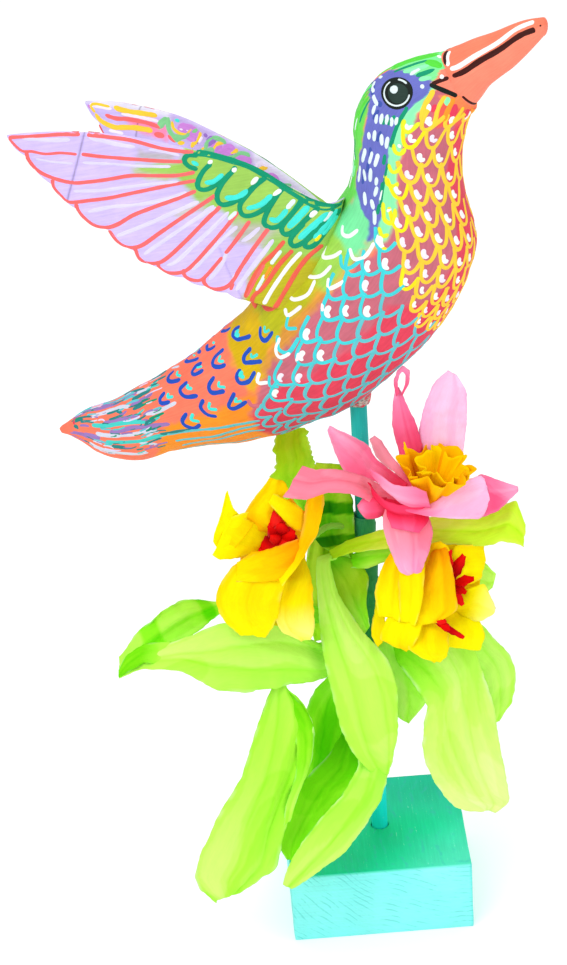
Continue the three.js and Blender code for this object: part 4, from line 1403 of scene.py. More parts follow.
# The inner face of a wing: ovals, hooks and long dashes.
INNER_STROKES = [
    ("magenta", [(33, -4.6), (40, -4.4)], 3.4), ("magenta", [(49, -8.6), (54, -7.6), (58, -5)], 4.6),
    ("magenta", [(66, -10.6), (69, -7.6), (72, -4)], 5.0), ("purple", [(75, -13), (77.4, -11)], 3.0),
    ("purple", [(80, -8), (82, -5)], 2.2), ("magenta", [(79, -13), (86, -12.8), (93, -11)], 6.0),
    ("yellow", [(40, -10), (43, -7), (46, -4.4)], 1.8), ("yellow", [(57, -12), (60, -9), (62, -7.6)], 1.8),
    ("green_soft", [(50, -13.4), (55, -10.4), (60, -6.6), (63, -4.4)], 1.8),
    ("green_soft", [(64, -15), (70, -13.6), (74, -9.6), (76, -4.6)], 1.9),
    ("green_soft", [(81, -14), (84, -10), (89, -6), (94, -3.8), (97.6, -6), (98.6, -10.6), (98, -13)], 2.2),
    ("yellow", [(84, -12), (87, -8.4), (91, -6.6), (95, -7.6), (96.4, -11)], 1.7),
    ("yellow", [(82.4, -5.6), (84, -2)], 2.0), ("yellow", [(88, -3), (92, -1)], 1.8),
    ("yellow", [(76.6, -5), (78, -2)], 1.6),
    ("yellow", [(105, -10.6), (114, -8.6), (122, -6.4), (131, -5.2)], 2.2),
    ("yellow", [(107, -2), (116, 0), (123, 2.4), (130, 5), (138, 5), (142, 2.4)], 2.2),
    ("coral", [(102, -5.4), (112, -4.6), (122, -2.4), (129, 0), (136, 1)], 1.9),
    ("coral", [(100, -2), (106, -0.4)], 2.4), ("lilac_white", [(40, -13), (44, -9.4), (47, -6)], 1.6),
    ("lilac_white", [(104, -8), (116, -6), (126, -3.6)], 1.4),
    ("lilac_white", [(86, -10), (92, -8.6)], 1.4),
    ("lilac_white", [(78, -10), (80, -6)], 1.3), ("lilac_white", [(124, 6), (133, 8)], 1.4),
    ("magenta", [(144, 0.4), (147, -1)], 1.8), ("green_soft", [(26, -5), (31, -3)], 1.4),
    ("purple", [(70, -13), (73, -10), (75, -6.6)], 3.4),
    ("magenta", [(57, -12), (62, -9.6), (66, -5.6)], 4.6),
    ("purple", [(58, -10), (61, -7)], 1.6), ("green_soft", [(99, -12), (102, -8), (104, -4)], 2.8),
    ("green_soft", [(70, -7), (74, -4), (79, -2.4)], 2.4), ("green_soft", [(90, -4), (97, -2.4)], 3.0),
    ("yellow", [(65, -13.6), (69, -9.6), (71, -6)], 1.5),
    ("yellow", [(79, -12), (80.6, -7), (83, -4)], 1.5),
    ("coral", [(93, -1.4), (98, -3)], 2.0),
    ("turquoise", [(92, -13), (95, -12)], 1.6), ("lilac_white", [(146, -0.6), (140, -2), (132, -4)], 1.6),
    ("yellow", [(142, 2), (145, -0.4), (141, -3), (133, -4.4)], 1.4),
]
# The hidden rest of the inner face carries on in the same spirit.
INNER_REST = [
    ("lilac_white", [(30, 4), (38, 24), (42, 46)], 1.8), ("coral", [(36, 2), (44, 24), (49, 48)], 2.0),
    ("lilac_white", [(44, 2), (54, 22), (60, 44)], 1.8), ("coral", [(50, 2), (60, 22), (69, 44)], 2.0),
    ("lilac_white", [(58, 2), (70, 20), (78, 38)], 1.8), ("coral", [(63, 2), (77, 20), (90, 36)], 2.0),
    ("lilac_white", [(74, 4), (88, 18), (98, 30)], 1.8), ("coral", [(82, 4), (96, 16), (108, 28)], 2.0),
    ("lilac_white", [(96, 6), (108, 16), (116, 22)], 1.8), ("coral", [(104, 6), (116, 14), (126, 16)], 2.0),
    ("green_soft", [(38, -2), (40, 6), (44, 12)], 1.8), ("yellow", [(54, -1), (56, 5), (60, 10)], 1.8),
    ("magenta", [(48, 1), (51, 8)], 3.6), ("magenta", [(66, 1), (71, 8)], 3.6),
]
PAINTS["green_soft"] = brushed_paint("paint_green_soft", rgb(128, 206, 140))


def paint_wing(name):
    wing, outer = wing_frame(name), OUTER_FACE[name]
    marks = Strokes()
    over_all = FlatSurface(wing, outer, tree_of(panels[name], body_shell))
    over_wing = FlatSurface(wing, outer, tree_of(panels[name]))
    behind = FlatSurface(wing, -outer, tree_of(panels[name]))
    for path, width in FEATHER_LIGHTS:
        marks.put("lavender", over_wing, path, width, height=0.16, ends=(1.2, 1.6), uneven=0.18)
    for path, width in FEATHER_LINES:
        marks.put("coral", over_wing, path, width, ends=(0.7, 0.4))
    for colour, path, width in ROOT_LINES:
        marks.put(colour, over_all, path, width, height=0.26, ends=(0.6, 0.6), uneven=0.16)
    for colour, path, width in COVERT_GLINTS:
        marks.put(colour, over_all, path, width + 0.5, height=0.44, ends=(0.9, 0.9), uneven=0.16)
    inset = 0.0 if name == "right_wing" else 1.8
    for path, width in COVERT_LINES:
        path = [(u, v + inset) for u, v in path]
        marks.put("teal", over_all, path, width + 0.3, height=0.3, ends=(0.4, 0.6))
    edge_u, edge_v = np.array(LEADING_EDGE).T
    for colour, path, width in INNER_STROKES + INNER_REST:
        width = width * (1.6 if colour == "magenta" else 1.3)
        inside_edge = width / 2 + 0.5
        path = [(u, max(v, float(np.interp(u, edge_u, edge_v)) + inside_edge)) for u, v in path]
        marks.put(colour, behind, path, width, height=0.2, ends=(0.8, 1.0), uneven=0.18)
    marks.make(name, "painted_wing")


for _name in WINGS:
    paint_wing(_name)


# ---------------------------------------------------------------------------
# Crepe paper leaves and petals
# ---------------------------------------------------------------------------

# Crepe paper tones. Olive and moss are yellow and green paper in painted shade; amber and flame are partly
# the papers' own colours and partly painted shade at roots and in folds.
PAPERS = {
    "lime": (176, 250, 72), "pale_lime": (192, 255, 90), "citron": (216, 255, 66),
    "leek": (186, 236, 36), "fresh": (158, 238, 48), "candy": (252, 168, 208), "grass": (132, 228, 24),
    "moss": (88, 182, 10), "olive_green": (158, 206, 30), "spring": (214, 255, 128),
    "gold": (255, 218, 0), "sun": (255, 238, 0), "amber": (255, 194, 0), "flame": (255, 164, 0),
    "pale": (252, 250, 110), "olive": (210, 196, 0),
    "blush": (252, 186, 226), "rose": (248, 146, 186), "hot": (252, 104, 148),
    "salmon": (255, 138, 160), "crimson": (240, 52, 92),
    "scarlet": (228, 12, 8), "garnet": (168, 0, 4),
}
CREPES = {slot: crepe_paper(slot) for slot in
          ("green_crepe", "yellow_crepe", "pink_crepe", "orange_crepe", "red_crepe")}
PAPER = 0.34
CELL = 1.05
VIEWER = np.array([0.0, -0.85, 0.5])


def even(points, count):
    """The wanted number of evenly spaced points on a cut edge: nearly straight between its
    corners, with the corners a little eased."""
    points = np.asarray(points, float)
    soft = smooth_path(points, 0.4)
    return spread(mix(soft, spread(points, len(soft)), 0.55), count)


def flat_noise(a, b, size, shift=0.0):
    """Noise over two numbers."""
    shape = np.broadcast(a, b).shape
    p = np.stack([np.broadcast_to(a, shape).ravel(), np.broadcast_to(b, shape).ravel(),
                  np.zeros(int(np.prod(shape)))], 1)
    return noise(p, size, shift).reshape(shape)


def paper_normals(grid):
    along = np.gradient(grid, axis=0)
    across = np.gradient(grid, axis=1)
    return unit(np.cross(along, across))


def paper_sheet(build, left, right, tones, bulge=0.0, ruffle=1.0, pleat=0.8, crumple=0.35,
                crease=(), shift=0.0, rim=0.35, fold=1.0, wear_and_rim_light=0.22, bands=()):
    """A cut piece of crepe paper between two edges that run from its root to its tip.
    Bulge pushes the middle to the viewer, ruffle waves the edges, pleats run lengthwise,
    and creases are sharp lengthwise folds: place across, depth and drift. Folds are the
    flat facets between soft creases. Light and shade are painted into the colour: patches
    and facets lighter or darker as if lit, shade along each crease, and bands of painted
    shade across: from, to, how dark."""
    length = max(float(distances(edge)[-1]) for edge in (left, right))
    width = max(np.linalg.norm(np.asarray(a, float) - b) for a, b in
                zip(even(left, 9), even(right, 9)))
    rows, columns = max(10, int(length / CELL)), max(7, int(width / CELL))
    edge_a, edge_b = even(left, rows), even(right, rows)
    a = np.linspace(0, 1, rows)[:, None]
    c = np.linspace(0, 1, columns)[None, :]
    grid = mix(edge_a[:, None, :], edge_b[:, None, :], c[..., None])
    face = paper_normals(grid)
    facing = 1.0 if (face.reshape(-1, 3).mean(0) @ VIEWER) > 0 else -1.0
    side = unit(edge_b - edge_a)[:, None, :]
    local = np.linalg.norm(edge_b - edge_a, axis=1)[:, None]
    free = ramp(a, 0.0, 0.35)
    edge = np.abs(2 * c - 1)
    roll = np.where(c < 0.5, 0.0, 31.0)
    lift = bulge * 4 * c * (1 - c) * np.sin(np.pi * np.clip(a, 0, 1)) ** 0.6
    lift = lift + ruffle * 1.6 * edge ** 3 * flat_noise(a * length + roll, roll, 11.0, shift) * free
    lift = lift + pleat * flat_noise(c * local * 0.9 + 5, a * length * 0.16, 4.2, shift + 3.3)
    lift = lift + crumple * flat_noise(c * local, a * length, 5.5, shift + 7.7)
    lift = lift + crumple * 0.4 * flat_noise(c * local, a * length, 2.2, shift + 1.9)
    count = 2 + int(shift) % 2
    kinks = [(j + 0.5 + 0.3 * math.sin(shift * (j + 1.3))) / count for j in range(count)]
    heights = [fold * (1 if j % 2 else -1) * (0.6 + 0.4 * math.cos(shift + j)) for j in range(count)]
    wander = c + 0.13 * flat_noise(a * length, a * 0, 30.0, shift + 2.4)
    wander = wander + 0.16 * (a - 0.5) * math.cos(shift)
    lift = lift + np.interp(wander, [0, *kinks, 1], [0, *heights, 0]) * np.minimum(local / 18, 1)
    creases = [((c - place - drift * (a - 0.3)) * local, depth) for place, depth, drift in crease]
    for away, depth in creases:
        lift = lift - depth * np.exp(-(np.abs(away) / 1.8) ** 1.4) * free
    ragged = rim * edge ** 8 * np.sign(2 * c - 1) * flat_noise(a * length + roll, roll, 2.6, shift)
    grid = grid + side * ragged[..., None] + face * (lift * facing)[..., None]
    face = paper_normals(grid) * facing
    points, faces = shell(grid + face * PAPER / 2, grid - face * PAPER / 2)
    root, middle, tip = (rgb(*PAPERS[name]) for name in tones.split())
    first = ramp(a, 0.05, 0.45)[..., None]
    last = ramp(a, 0.45, 0.95)[..., None]
    colour = mix(mix(root, middle, first), tip, last)
    # Painted light and shade: random patches, and each flat facet between folds, painted lighter or darker
    # as if lit.
    facet = flat_noise(c * local + 9, a * length * 0.3, 15.0, shift + 5.1)
    deep = 0.05 * ramp(facet, 0.10, 0.13) - 0.05 * ramp(-facet, 0.12, 0.15)
    for j, place in enumerate(kinks):
        step = 0.025 + 0.045 * abs(math.sin(7.1 * shift + 2.3 * j))
        deep = deep + (step if j % 2 else -step) * ramp((wander - place) * local, -0.4, 0.4) * free
    # Painted shade along each crease, and a little on one side of it.
    for away, depth in creases:
        deep = deep + 0.07 * np.exp(-(away / 0.7) ** 2) * free
        deep = deep + 0.03 * ramp(away, -0.3, 0.3) * ramp(-away, -7.0, -2.0) * free
    # Bands of painted shade across the piece.
    for start, stop, dark in bands:
        along = a + 0.03 * flat_noise(c * local, a * 0, 12.0, shift)
        deep = deep + dark * ramp(along, start - 0.01, start) * ramp(-along, -stop - 0.02, -stop)
    deep = np.broadcast_to(deep[..., None], grid.shape[:2] + (1,))
    # The painted shading deepens and darkens the colour, greener in the darker folds.
    colour = np.clip(colour, 0, 1) ** np.exp(2.6 * deep) * (1 - 0.4 * deep)
    # Painted highlight: the cut edges are mixed towards a pale colour, where light catches the rims.
    rim_light = wear_and_rim_light * ramp(edge, 0.88, 1.0) * ramp(flat_noise(a * length, roll, 8.0, 2.2), -0.2, 0.4)
    colour = mix(colour, mix(tip, 1.0, 0.45), rim_light[..., None])
    paint = np.clip(np.concatenate([colour.reshape(-1, 3)] * 2), 0, 1)
    brush = np.stack([np.broadcast_to(a * length, grid.shape[:2]),
                      c * local + 40 * shift, np.full(grid.shape[:2], shift)], -1)
    build.add(points, faces, np.concatenate([brush.reshape(-1, 3)] * 2), paint)


def paper_piece(name, slot, left, right, tones, nodes=(), **how):
    build = Build()
    how.setdefault("shift", 3.7 * (sum(map(ord, name)) % 29))
    paper_sheet(build, left, right, tones, **how)
    return build.make(name, CREPES[slot], "figure", slot, nodes)


def leaf(name, left, right, tones="lime lime pale_lime", stands=True, **how):
    settings = dict(bulge=2.0, ruffle=1.5, pleat=0.6, crumple=0.35, fold=1.5, wear_and_rim_light=0.5,
                    crease=[(0.42, 1.0, 0.25)])
    settings.update(how)
    paper_piece(f"{name}_paper", "green_crepe", left, right, tones, [name] if stands else [],
                **settings)


def leaves():
    leaf("leaf_left_front",
         [(-9, -7, 151), (-24, -16, 154), (-45, -26, 173), (-67, -36, 182), (-84, -40, 179),
          (-104, -43, 174), (-120, -42, 165)],
         [(-9, -7, 147), (-23, -15, 135), (-42, -28, 140), (-59, -38, 144), (-76, -45, 151),
          (-91, -48, 164), (-109, -46, 166), (-121, -42, 159)],
         bulge=3.5, ruffle=1.8, crease=[(0.26, 1.2, 0.35), (0.70, 1.2, -0.25)])
    leaf("leaf_left_tip",
         [(-95, -42, 177), (-108, -44, 178), (-117, -44, 172), (-121, -43, 164)],
         [(-101, -46, 167), (-108, -47, 170), (-114, -46, 166), (-121, -43, 160)],
         "lime grass grass", stands=False, bulge=1.0)
    # Its two bands across are painted shade.
    leaf("leaf_left_back",
         [(-9, -1, 165), (-30, -3, 168), (-52, -4, 170), (-74, -10, 179), (-89, -16, 184),
          (-100, -24, 182), (-109, -29, 177), (-120, -34, 166)],
         [(-9, -1, 161), (-30, -4, 157), (-54, -8, 160), (-68, -13, 175), (-82, -20, 169),
          (-95, -27, 166), (-108, -33, 162), (-121, -36, 157)],
         "grass lime lime", ruffle=2.2, pleat=1.4, bands=((0.56, 0.60, 0.22), (0.80, 0.86, 0.2)))
    leaf("leaf_centre",
         [(-9, -8, 199), (-24, -16, 201), (-25, -20, 179), (-24, -25, 152), (-18, -32, 116),
          (-12, -34, 101), (-2, -33, 87)],
         [(-8, -8, 195), (-18, -15, 198), (-15, -19, 182), (-5, -23, 164), (6, -27, 150),
          (10, -30, 135), (9, -32, 112), (4, -31, 87)],
         "lime pale_lime pale_lime", bulge=4.0,
         crease=[(0.30, 1.6, 0.1), (0.66, 1.0, 0.3)])
    # The fold's underside, moss at its root: painted shade.
    leaf("leaf_centre_fold",
         [(-20, -13, 199), (-21, -14, 188), (-17, -15, 176), (-10, -18, 166), (-4, -21, 160)],
         [(-14, -12, 200), (-4, -14, 196), (0, -15, 188), (-2, -17, 176), (-1, -20, 164)],
         "moss olive_green lime", stands=False, bulge=-2.0)
    leaf("leaf_lower_left",
         [(-9, -6, 152), (-32, -15, 152), (-48, -24, 140), (-59, -36, 120), (-67, -47, 103),
          (-80, -53, 85), (-90, -60, 67), (-93, -63, 59), (-90, -65, 51), (-84, -61, 42)],
         [(-9, -6, 148), (-32, -16, 147), (-44, -24, 137), (-35, -30, 130), (-31, -37, 121),
          (-34, -43, 107), (-42, -48, 92), (-49, -53, 74), (-53, -56, 57), (-64, -58, 48),
          (-80, -60, 41)],
         "lime fresh pale_lime", bulge=4.5, ruffle=2.0,
         crease=[(0.30, 1.2, 0.35), (0.74, 2.0, 0.1)])
    leaf("leaf_lower_left_fold",
         [(-44, -27, 138), (-36, -32, 131), (-31, -38, 122), (-33, -44, 108), (-40, -50, 94),
          (-46, -54, 80)],
         [(-47, -29, 135), (-43, -37, 126), (-40, -43, 114), (-42, -49, 100), (-47, -53, 88),
          (-48, -56, 79)],
         "grass grass lime", stands=False, bulge=2.4, ruffle=0.6)
    leaf("leaf_lower_middle",
         [(-7, -10, 120), (-10, -16, 108), (-10, -22, 98), (-11, -31, 93), (-20, -43, 85),
          (-31, -50, 77), (-41, -55, 67), (-49, -57, 54), (-51, -58, 46)],
         [(-5, -10, 116), (2, -16, 107), (6, -22, 98), (5, -28, 89), (-1, -38, 77),
          (-10, -46, 68), (-20, -52, 59), (-33, -55, 51), (-47, -58, 43)],
         "grass lime pale_lime", bulge=2.5, ruffle=1.2)
    # The inside of the fold, moss and grass: painted shade.
    leaf("leaf_lower_trough",
         [(-10, -8, 112), (-18, -15, 100), (-28, -24, 92), (-37, -34, 90), (-45, -43, 79),
          (-51, -50, 64), (-48, -54, 58)],
         [(-6, -8, 110), (-9, -22, 94), (-9, -30, 90), (-17, -38, 84), (-28, -44, 76),
          (-39, -50, 66), (-46, -55, 58)],
         "moss grass grass", stands=False, bulge=-2.0)
    leaf("leaf_lower_back",
         [(-9, 2, 130), (-19, 1, 127), (-28, 0, 119), (-34, -1, 106), (-37, -3, 92),
          (-39, -7, 80), (-38, -10, 70)],
         [(-8, 2, 126), (-12, 1, 122), (-12, 0, 116), (-14, -2, 103), (-15, -4, 92),
          (-20, -8, 80), (-30, -12, 69)],
         "lime grass grass", ruffle=1.6)
    leaf("leaf_right_front",
         [(9, -7, 147), (10, -12, 150), (11, -17, 142), (18, -22, 132), (24, -28, 122),
          (21, -33, 110), (21, -36, 97), (26, -37, 83), (34, -38, 71), (46, -38, 66)],
         [(9, -5, 150), (30, -10, 158), (46, -14, 152), (53, -19, 130), (56, -24, 118),
          (57, -29, 108), (58, -33, 98), (60, -36, 84), (61, -37, 70), (54, -38, 65)],
         "grass pale_lime spring", bulge=4.0, ruffle=1.8,
         crease=[(0.6, 1.4, 0.1), (0.26, 1.2, 0.35)])
    leaf("leaf_right_back",
         [(9, 3, 152), (36, 4, 158), (53, 3, 148), (61, 3, 137), (68, 4, 127), (70, 2, 115),
          (67, -3, 104), (61, -6, 96)],
         [(9, 3, 148), (30, 2, 146), (44, 0, 141), (49, -1, 129), (54, -2, 118), (57, -4, 106),
          (59, -8, 96)],
         "grass lime pale_lime", ruffle=1.4)
    leaf("leaf_hanging",
         [(8, -2, 148), (0, -6, 142), (1, -9, 133), (4, -12, 124), (8, -16, 115), (12, -18, 109)],
         [(9, -2, 152), (22, -6, 150), (29, -11, 137), (28, -15, 126), (23, -18, 116), (15, -20, 108)],
         "lime pale_lime pale_lime", ruffle=1.0)
    leaf("leaf_long_right",
         [(-18, -12, 202), (-9, -16, 209), (7, -17, 214), (30, -19, 220), (54, -21, 221),
          (64, -22, 225), (70, -23, 227), (74, -23, 214)],
         [(-17, -15, 199), (-8, -21, 205), (11, -23, 207), (30, -25, 209), (52, -26, 206),
          (62, -27, 208), (68, -26, 206), (73, -25, 203)],
         "leek citron citron", bulge=1.6, ruffle=1.0, pleat=0.4, crease=[(0.5, 1.6, 0.1)])
    leaf("leaf_long_twist",
         [(-8, -12, 199), (0, -14, 203), (9, -16, 205), (15, -17, 203)],
         [(-8, -14, 193), (-1, -17, 194), (8, -18, 197), (15, -18, 195)],
         "grass lime lime", stands=False)
    # Moss in its middle and its bands across are painted shade.
    leaf("leaf_wrapped",
         [(-11, -5, 193), (-22, -2, 200), (-27, 1, 213), (-26, 4, 227), (-21, 6, 240)],
         [(-7, -6, 193), (-5, -6, 204), (-5, -2, 222), (-9, 6, 238)],
         "olive_green moss olive_green", ruffle=1.2, crumple=0.9,
         bands=((0.20, 0.30, 0.3), (0.52, 0.62, 0.3), (0.80, 0.84, 0.2)))
    # Moss at its root: painted shade.
    leaf("leaf_wrapped_low",
         [(-17, 5, 232), (-24, 4, 212), (-29, 2, 186), (-29, 0, 166), (-27, -1, 146)],
         [(-8, 5, 236), (-9, 4, 210), (-12, 3, 186), (-14, 2, 166), (-18, 0, 148)],
         "moss olive_green leek", stands=False, ruffle=1.2, crumple=0.8)
    leaf("leaf_small_right",
         [(10, 3, 176), (30, 5, 184), (47, 2, 187), (55, 3, 183), (62, 2, 174)],
         [(10, 3, 172), (30, 5, 172), (46, 0, 166), (55, 1, 164), (60, 1, 168)])
    leaf("leaf_upright",
         [(-10, 8, 190), (-27, 7, 196), (-35, 12, 216), (-42, 19, 227), (-39, 24, 232),
          (-40, 28, 238), (-37, 32, 246)],
         [(-8, 8, 188), (-14, 8, 194), (-17, 14, 212), (-20, 21, 226), (-22, 27, 236),
          (-24, 33, 245)],
         "leek fresh leek", ruffle=2.6, pleat=1.2, crumple=0.9, rim=2.2)


def petal(name, left, right, tones, stands=(), slot="yellow_crepe", **how):
    settings = dict(bulge=2.0, ruffle=1.1, pleat=0.6, crumple=0.4, fold=1.1, wear_and_rim_light=0.12)
    settings.update(how)
    paper_piece(name, slot, left, right, tones, stands, **settings)


def left_flower():
    petal("left_flower_back_petal",
          [(-50, -29, 236), (-58, -33, 226), (-60, -37, 214), (-54, -39, 200)],
          [(-34, -27, 240), (-29, -29, 228), (-30, -33, 212), (-36, -38, 198)],
          "amber amber gold", bulge=1.0)
    petal("left_flower_top_petal",
          [(-38, -30, 218), (-48, -33, 226), (-56, -37, 234), (-57, -40, 241), (-51, -39, 249),
           (-44, -38, 257)],
          [(-36, -29, 218), (-40, -32, 232), (-40, -35, 241), (-38, -37, 247), (-36, -37, 250),
           (-38, -36, 254)],
          "amber amber gold", ["left_flower_petal_5"], ruffle=0.8)
    petal("left_flower_wide_petal",
          [(-38, -30, 219), (-45, -33, 231), (-52, -37, 240), (-57, -41, 242), (-63, -44, 242)],
          [(-38, -30, 213), (-50, -36, 217), (-62, -44, 220), (-70, -49, 223), (-73, -50, 226)],
          "amber gold sun", ["left_flower_petal_2"], bulge=-1.5, ruffle=0.9)
    petal("left_flower_spike",
          [(-52, -38, 234), (-58, -42, 240), (-62, -45, 247), (-64, -47, 257)],
          [(-66, -46, 222), (-72, -49, 232), (-67, -47, 247), (-65, -48, 256)],
          "gold sun sun", ["left_flower_petal_1"], bulge=-0.8, ruffle=0.6)
    petal("left_flower_front_petal",
          [(-40, -30, 210), (-54, -40, 220), (-64, -46, 217), (-70, -49, 211), (-73, -50, 202),
           (-71, -47, 191), (-63, -42, 177)],
          [(-31, -30, 212), (-33, -41, 217), (-39, -48, 211), (-43, -50, 201), (-45, -48, 189),
           (-51, -44, 177)],
          "amber gold sun", ["left_flower_petal_3"], bulge=1.5, ruffle=0.8, crease=[(0.45, 1.0, 0.1)])
    # The band under the rim, gold to amber and flame: painted shade in the valley fold.
    petal("left_flower_front_fold",
          [(-62, -46, 219), (-52, -44, 222), (-43, -43, 224), (-33, -39, 225)],
          [(-63, -50, 211), (-51, -51, 210), (-42, -51, 211), (-32, -44, 217)],
          "gold amber flame", bulge=1.6, ruffle=0.5)
    # Flame and olive: a petal in painted shade.
    petal("left_flower_dark_petal",
          [(-38, -34, 212), (-45, -43, 202), (-48, -45, 194), (-49, -45, 184)],
          [(-32, -33, 213), (-37, -41, 204), (-42, -44, 195), (-43, -44, 182)],
          "flame olive olive", bulge=0.8, ruffle=0.4)
    petal("left_flower_flap_petal",
          [(-28, -34, 235), (-32, -37, 241), (-36, -41, 246), (-43, -44, 252)],
          [(-32, -36, 227), (-37, -40, 233), (-42, -44, 242), (-46, -48, 250)],
          "amber gold sun", bulge=1.0, ruffle=0.5)
    petal("left_flower_tall_petal",
          [(-44, -50, 212), (-38, -45, 218), (-33, -40, 224), (-30, -37, 233), (-28, -33, 241),
           (-23, -30, 246)],
          [(-42, -54, 209), (-34, -50, 218), (-29, -46, 223), (-24, -42, 229), (-20, -35, 240),
           (-20, -30, 247)],
          "sun amber amber", ["left_flower_petal_6"], bulge=-1.2, ruffle=0.7)
    # Olive at its root: painted shade.
    petal("left_flower_low_petal",
          [(-36, -34, 213), (-41, -44, 206), (-45, -48, 197), (-46, -47, 187), (-43, -45, 179),
           (-34, -42, 172)],
          [(-31, -32, 213), (-28, -39, 204), (-28, -42, 195), (-28, -42, 185), (-28, -40, 177),
           (-30, -38, 170)],
          "olive gold pale", ["left_flower_petal_4", "left_flower_petal_7"], ruffle=1.0,
          crease=[(0.2, 1.2, 0.1)])


def right_flower():
    petal("right_flower_back_petal",
          [(24, -20, 208), (12, -23, 202), (9, -26, 190), (11, -30, 178), (20, -34, 168)],
          [(36, -19, 209), (48, -20, 200), (52, -23, 186), (48, -27, 174), (34, -33, 164)],
          "gold amber amber", bulge=1.0)
    # Mostly olive: yellow paper in painted shade.
    petal("right_flower_fold_petal",
          [(18, -20, 196), (9, -22, 198), (5, -24, 189), (1, -27, 176), (-1, -27, 164), (2, -27, 157)],
          [(20, -21, 190), (12, -24, 196), (8, -27, 189), (6, -30, 177), (6, -29, 169), (4, -28, 159)],
          "olive olive gold", ["right_flower_petal_1"], bulge=1.0)
    petal("right_flower_left_petal",
          [(18, -30, 212), (9, -35, 211), (4, -38, 203), (1, -39, 193), (2, -39, 180)],
          [(24, -30, 210), (17, -38, 212), (15, -41, 202), (14, -42, 190), (12, -41, 178)],
          "amber gold sun", bulge=0.6, fold=1.6, crease=[(0.3, 1.0, 0.2), (0.66, 1.2, -0.1)])
    petal("right_flower_curl_petal",
          [(22, -30, 214), (15, -38, 212), (12, -42, 203), (12, -43, 192), (12, -42, 178)],
          [(28, -28, 214), (25, -40, 211), (24, -45, 202), (23, -47, 193), (19, -46, 178)],
          "amber gold sun", ["right_flower_petal_2"], bulge=1.0, fold=1.5,
          crease=[(0.45, 1.2, 0.1)])
    petal("right_flower_great_petal",
          [(30, -30, 200), (28, -33, 208), (25, -38, 201), (20, -41, 190), (19, -43, 182),
           (21, -43, 176)],
          [(33, -28, 200), (35, -34, 212), (37, -42, 205), (38, -47, 194), (38, -49, 186),
           (29, -47, 179)],
          "flame amber gold", ["right_flower_petal_7"], bulge=2.2, crease=[(0.7, 1.6, 0.1)])
    petal("right_flower_great_top",
          [(28, -30, 200), (28, -32, 207), (29, -34, 214), (33, -34, 215)],
          [(36, -28, 198), (38, -31, 204), (37, -33, 210), (35, -34, 213)],
          "flame amber gold", bulge=1.0, ruffle=0.6)
    petal("right_flower_low_left_petal",
          [(20, -32, 184), (9, -36, 181), (4, -40, 175), (2, -42, 169), (8, -42, 165)],
          [(26, -34, 182), (23, -42, 179), (21, -46, 174), (18, -46, 168), (14, -44, 163)],
          "gold sun gold", bulge=0.8, fold=1.4, crease=[(0.5, 1.2, 0.1)])
    petal("right_flower_low_petal",
          [(27, -30, 180), (20, -38, 177), (16, -43, 172), (15, -47, 166), (21, -46, 160),
           (27, -45, 157)],
          [(30, -30, 178), (31, -37, 173), (34, -41, 169), (34, -44, 165), (33, -44, 160),
           (30, -43, 155)],
          "amber gold sun", ["right_flower_petal_3"], bulge=2.2, crease=[(0.35, 1.0, 0.1)])
    petal("right_flower_low_right_petal",
          [(30, -28, 180), (31, -34, 173), (34, -38, 170), (34, -39, 165), (34, -38, 160)],
          [(35, -26, 181), (43, -28, 172), (50, -31, 168), (52, -34, 163), (50, -34, 154)],
          "amber sun sun", ["right_flower_petal_4"], bulge=1.8)
    petal("right_flower_pale_petal",
          [(34, -25, 184), (40, -29, 184), (46, -30, 187), (53, -30, 188), (56, -29, 181),
           (58, -27, 173)],
          [(34, -26, 180), (40, -31, 174), (46, -33, 170), (51, -33, 170), (56, -28, 169)],
          "gold sun pale", ["right_flower_petal_5"], bulge=2.0)
    petal("right_flower_right_petal",
          [(34, -25, 190), (38, -29, 203), (40, -27, 208), (47, -25, 207), (54, -22, 204)],
          [(34, -26, 186), (41, -31, 188), (47, -30, 189), (52, -28, 190), (54, -24, 197)],
          "gold sun gold", ["right_flower_petal_6"], bulge=1.8)


